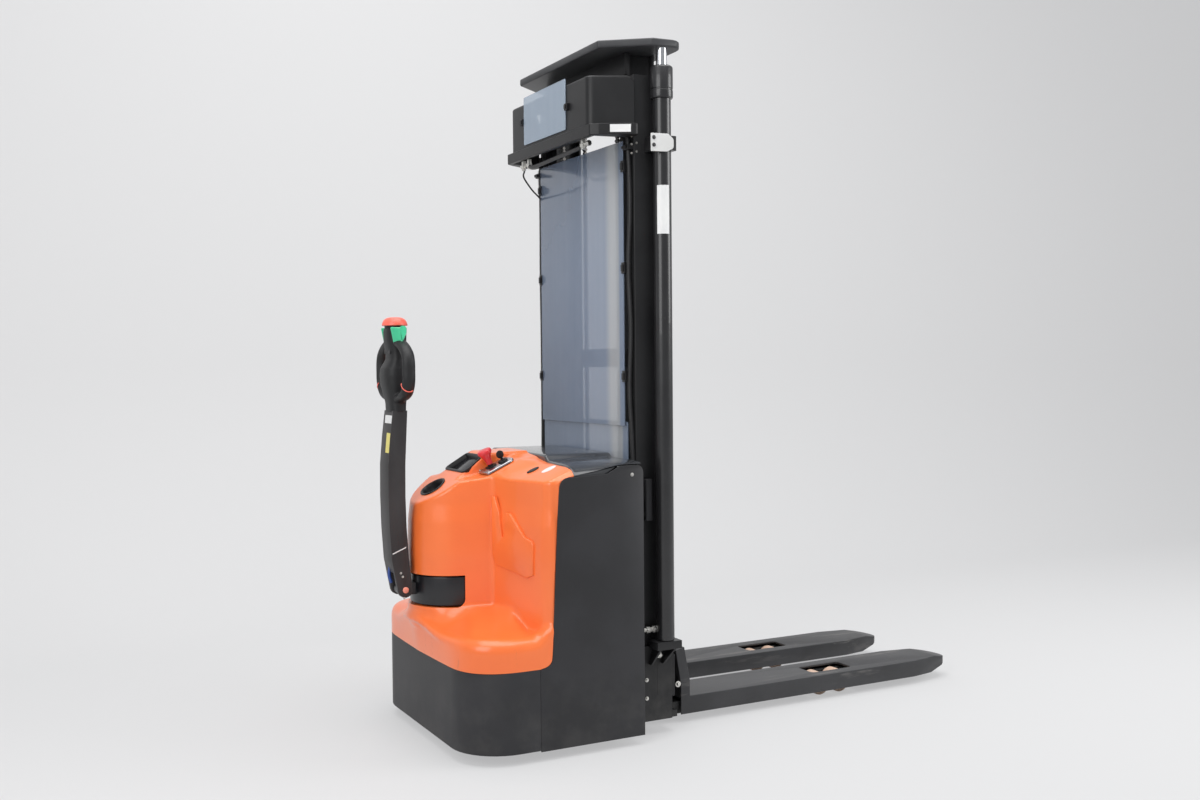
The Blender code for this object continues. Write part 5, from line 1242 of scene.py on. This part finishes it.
def conduit():
    """Ridges set along a path, each a short drum turned to the path's own direction."""
    start, given = grower("conduit", Spacing=0.0042, Radius=0.0082)
    path = start.node("GeometryNodeMeshToCurve", {}, {"Mesh": given["Geometry"]})
    path = start.node("GeometryNodeResampleCurve", {"mode": "LENGTH"}, {"Curve": path, "Length": given["Spacing"]})
    tangent = start.node("GeometryNodeInputTangent", {}, {})
    turn = start.node("FunctionNodeAlignRotationToVector", {"axis": "Z"}, {"Vector": tangent})
    core = start.node("GeometryNodeMeshCylinder", {}, {"Vertices": 10, "Radius": given["Radius"] * 0.82, "Depth": given["Spacing"]})
    ridge = start.node("GeometryNodeMeshCylinder", {}, {"Vertices": 10, "Radius": given["Radius"], "Depth": given["Spacing"] * 0.5})
    unit = start.node("GeometryNodeJoinGeometry", {}, {"Geometry": [core, ridge]})
    points = start.node("GeometryNodeCurveToPoints", {"mode": "EVALUATED"}, {"Curve": path})
    turn = start.node("GeometryNodeCurveToPoints", {"mode": "EVALUATED"}, {"Curve": path}, 3)
    placed = start.node("GeometryNodeInstanceOnPoints", {}, {"Points": points, "Instance": unit, "Rotation": turn})
    return ended(start, placed, given)


CONDUIT = conduit()
for side, sign in (("right", -1), ("left", 1)):
    bends = [(0.010, 0.322, 1.930), (0.014, 0.330, 1.700), (0.010, 0.324, 1.500), (0.014, 0.330, 1.300), (0.011, 0.324, 1.120), (0.014, 0.331, 0.960), (0.015, 0.336, 0.860)]
    line = smooth_path([(x, sign * y, z) for x, y, z in bends], 8)
    grown(f"ridged_conduit_{side}", CONDUIT, line, [(0, 0, 1)] * len(line), "chassis", HOSE, "black_plastic", [(i, i + 1) for i in range(len(line) - 1)], flat=50)


# ---- Carriage, forks and legs ------------------------------------------------------------------
# A welded carriage in the inner rails with two boxed forks, worn to metal where pallets rub, over
# support legs whose tandem polyurethane rollers sit on rocking bogies.
def worn_paint(name, dark, light, bare):
    """Paint rubbed through in long scratches, most of all on the top faces near the tip."""

    def build(start, sockets):
        cloud = noise(start, 6.0, 4.0)
        rub = noise(start, 30.0, 6.0, 0.7, (0.12, 1.0, 1.0))
        fine = noise(start, 900.0, 2.0)
        height = start.node("SeparateXYZ", {}, {"Vector": place_of(start)}, 2)
        top = height.band(0.070, 0.086) * (1 - height.band(0.10, 0.13))
        wear = rub.band(0.55, 0.66) * (top * 0.45 + 0.18)
        feed(start, sockets, "Base Color", wear.mixed(cloud.band(0.3, 0.7).mixed(dark, light), bare))
        feed(start, sockets, "Roughness", cloud * 0.12 + wear * 0.10 + 0.38)
        feed(start, sockets, "Metallic", wear * 0.6)
        bumped(start, sockets, fine + rub * 1.4, 0.10, 0.0008)

    return solid_finish(name, build)


FORK_PAINT = worn_paint("fork_paint_worn", (0.026, 0.026, 0.028), (0.040, 0.040, 0.043), (0.22, 0.21, 0.20))
ROLLER = coated("polyurethane", (0.62, 0.42, 0.31), (0.70, 0.50, 0.38), 0.48, grain=400.0, relief=0.08, dust=0.35, dust_top=0.10)
eased("carriage_weldment", "carriage", "fork_carriage", MAST_PAINT, 0.0018, 2)
for side, sign in (("right", -1), ("left", 1)):
    eased(f"fork_box_{side}", f"fork_{side}", "fork_carriage", FORK_PAINT, 0.0022, 3)
    eased(f"leg_beam_{side}", f"support_leg_{side}", "chassis", MAST_PAINT, 0.0015, 2)
    eased(f"bogie_frame_{side}", f"bogie_{side}", f"bogie_{side}", CHAIN_STEEL, 0.0008)
    for place, x in (("rear", 0.836), ("tip", 0.924)):
        name = f"load_roller_{place}_{side}"
        bm = bmesh.new()
        revolved(bm, (x, sign * 0.195, 0.039), (0, 1, 0), wheel_loop(0.039, 0.033, 0.0097, 0.0035, 0.026, 0.003), 48)
        fitted(f"{name}_tyre", bm, name, ROLLER, (name,), flat=40)


# ---- Bolts and plates --------------------------------------------------------------------------
# Plated screws and black bolts where the covers and brackets are held, and the blank plates that
# stand where the real truck has its stickers.
def bolt_heads():
    """A washer and a head on every point, turned to the point's own aim."""
    start, given = grower("bolt_heads", Radius=0.006, Height=0.004, Sides=6, Taper=1.0)
    radius, height = given["Radius"], given["Height"]
    washer = start.node("GeometryNodeMeshCylinder", {}, {"Vertices": 14, "Radius": radius * 1.45, "Depth": height * 0.5})
    cap = start.node("GeometryNodeMeshCone", {}, {"Vertices": given["Sides"], "Radius Top": radius * given["Taper"], "Radius Bottom": radius, "Depth": height})
    cap = moved_to(start, cap, z=height * 0.25)
    unit = start.node("GeometryNodeJoinGeometry", {}, {"Geometry": [washer, cap]})
    aim = start.node("GeometryNodeInputNamedAttribute", {"data_type": "FLOAT_VECTOR"}, {"Name": "aim"})
    turn = start.node("FunctionNodeAlignRotationToVector", {"axis": "Z"}, {"Vector": aim})
    placed = start.node("GeometryNodeInstanceOnPoints", {}, {"Points": given["Geometry"], "Instance": unit, "Rotation": turn})
    return ended(start, placed, given)


BOLTS = bolt_heads()
near = (0, -1, 0)


def both_sides(places):
    """Mirrors places and aims from the right-hand side to the left."""
    return [(x, sign * y, z) for sign in (-1, 1) for x, y, z in places], [(0, sign, 0) for sign in (-1, 1) for _ in places]


places, aims = both_sides([(-0.040, 0.4247, 0.848)])
grown("panel_screws", BOLTS, places, aims, "chassis", ZINC, "bright_steel", Radius=0.0042, Height=0.0022, Sides=14, Taper=0.7)
places, aims = both_sides([(0.046, 0.3566, z) for z in (0.182, 0.123)] + [(0.0365, 0.3455, z) for z in (0.774, 0.711)])
grown("bracket_screws", BOLTS, places, aims, "chassis", ZINC, "bright_steel", Radius=0.0045, Height=0.0040, Sides=6, Taper=0.9)
places, aims = both_sides([(0.092, 0.3568, 0.258)])
grown("foot_bolts", BOLTS, places, aims, "chassis", ZINC, "bright_steel", Radius=0.0070, Height=0.0080, Sides=4, Taper=1.0)
places, aims = both_sides([(0.052, 0.4160, z) for z in (1.870, 1.893)])
grown("clamp_bolts", BOLTS, places, aims, "chassis", CAST, "bright_steel", Radius=0.0044, Height=0.0040, Sides=6, Taper=0.9)
places, aims = both_sides([(0.205, 0.2852, 0.133)])
grown("carriage_bolts", BOLTS, places, aims, "fork_carriage", ZINC, "bright_steel", Radius=0.0070, Height=0.0050, Sides=14, Taper=0.6)
places = [(0.012, -0.3455, z) for z in (1.905, 1.880, 1.852)] + [(0.030, -0.3455, z) for z in (1.885, 1.858)]
grown("rail_screws", BOLTS, places, [near] * len(places), "chassis", ZINC, "bright_steel", Radius=0.0026, Height=0.0022, Sides=8, Taper=0.7)
places = [on_bezel(x, y, 0.0062) for x, y in ((-0.404, -0.086), (-0.396, -0.138), (-0.318, -0.138), (-0.325, -0.087))]
grown("bezel_screws", BOLTS, places, [tuple(BEZEL_NORMAL)] * 4, "chassis", ZINC, "bright_steel", Radius=0.0026, Height=0.0018, Sides=10, Taper=0.6)
places = [(-0.660, -0.0434, 0.540), (-0.654, -0.0434, 0.528), (-0.650, -0.0434, 0.460)]
grown("arm_screws", BOLTS, places, [near] * 3, "tiller", ZINC, "bright_steel", Radius=0.0026, Height=0.0020, Sides=10, Taper=0.7)
places = [(STEER_X + 0.040 * math.cos(a), -0.0312, 0.098 + 0.040 * math.sin(a)) for a in (math.tau * i / 5 for i in range(5))]
grown("wheel_nuts", BOLTS, places, [near] * 5, "drive_wheel", ZINC, "bright_steel", Radius=0.0050, Height=0.0045, Sides=6, Taper=0.95)

bm = bmesh.new()
ledge_line = Vector((0.118, -0.063)).normalized()
root = Vector((-0.100, -0.337))
ring = []
for along, z in ((0.035, 1.910), (0.100, 1.910), (0.100, 1.934), (0.035, 1.934)):
    ring.append((root + ledge_line * along, z))
out = Vector((-ledge_line.y, ledge_line.x)) * -1
lofted(bm, [[(p.x + out.x * lift, p.y + out.y * lift, z) for p, z in ring] for lift in (-0.002, 0.0012)])
fitted("blank_number_plate", bm, "chassis", BLANK_WHITE, slot="mast_paint", bevel=0.0004, segments=1)
bm = bmesh.new()
rings = []
for z in (1.597, 1.749):
    span = [math.radians(a) for a in (205, 215, 225, 235, 245, 255, 265, 275, 285)]
    rings.append([(0.101 + 0.0292 * math.cos(a), -0.382 + 0.0292 * math.sin(a), z) for a in span] + [(0.101 + 0.0285 * math.cos(a), -0.382 + 0.0285 * math.sin(a), z) for a in reversed(span)])
lofted(bm, rings)
fitted("blank_tube_label", bm, "chassis", BLANK_WHITE, slot="mast_paint", flat=50)
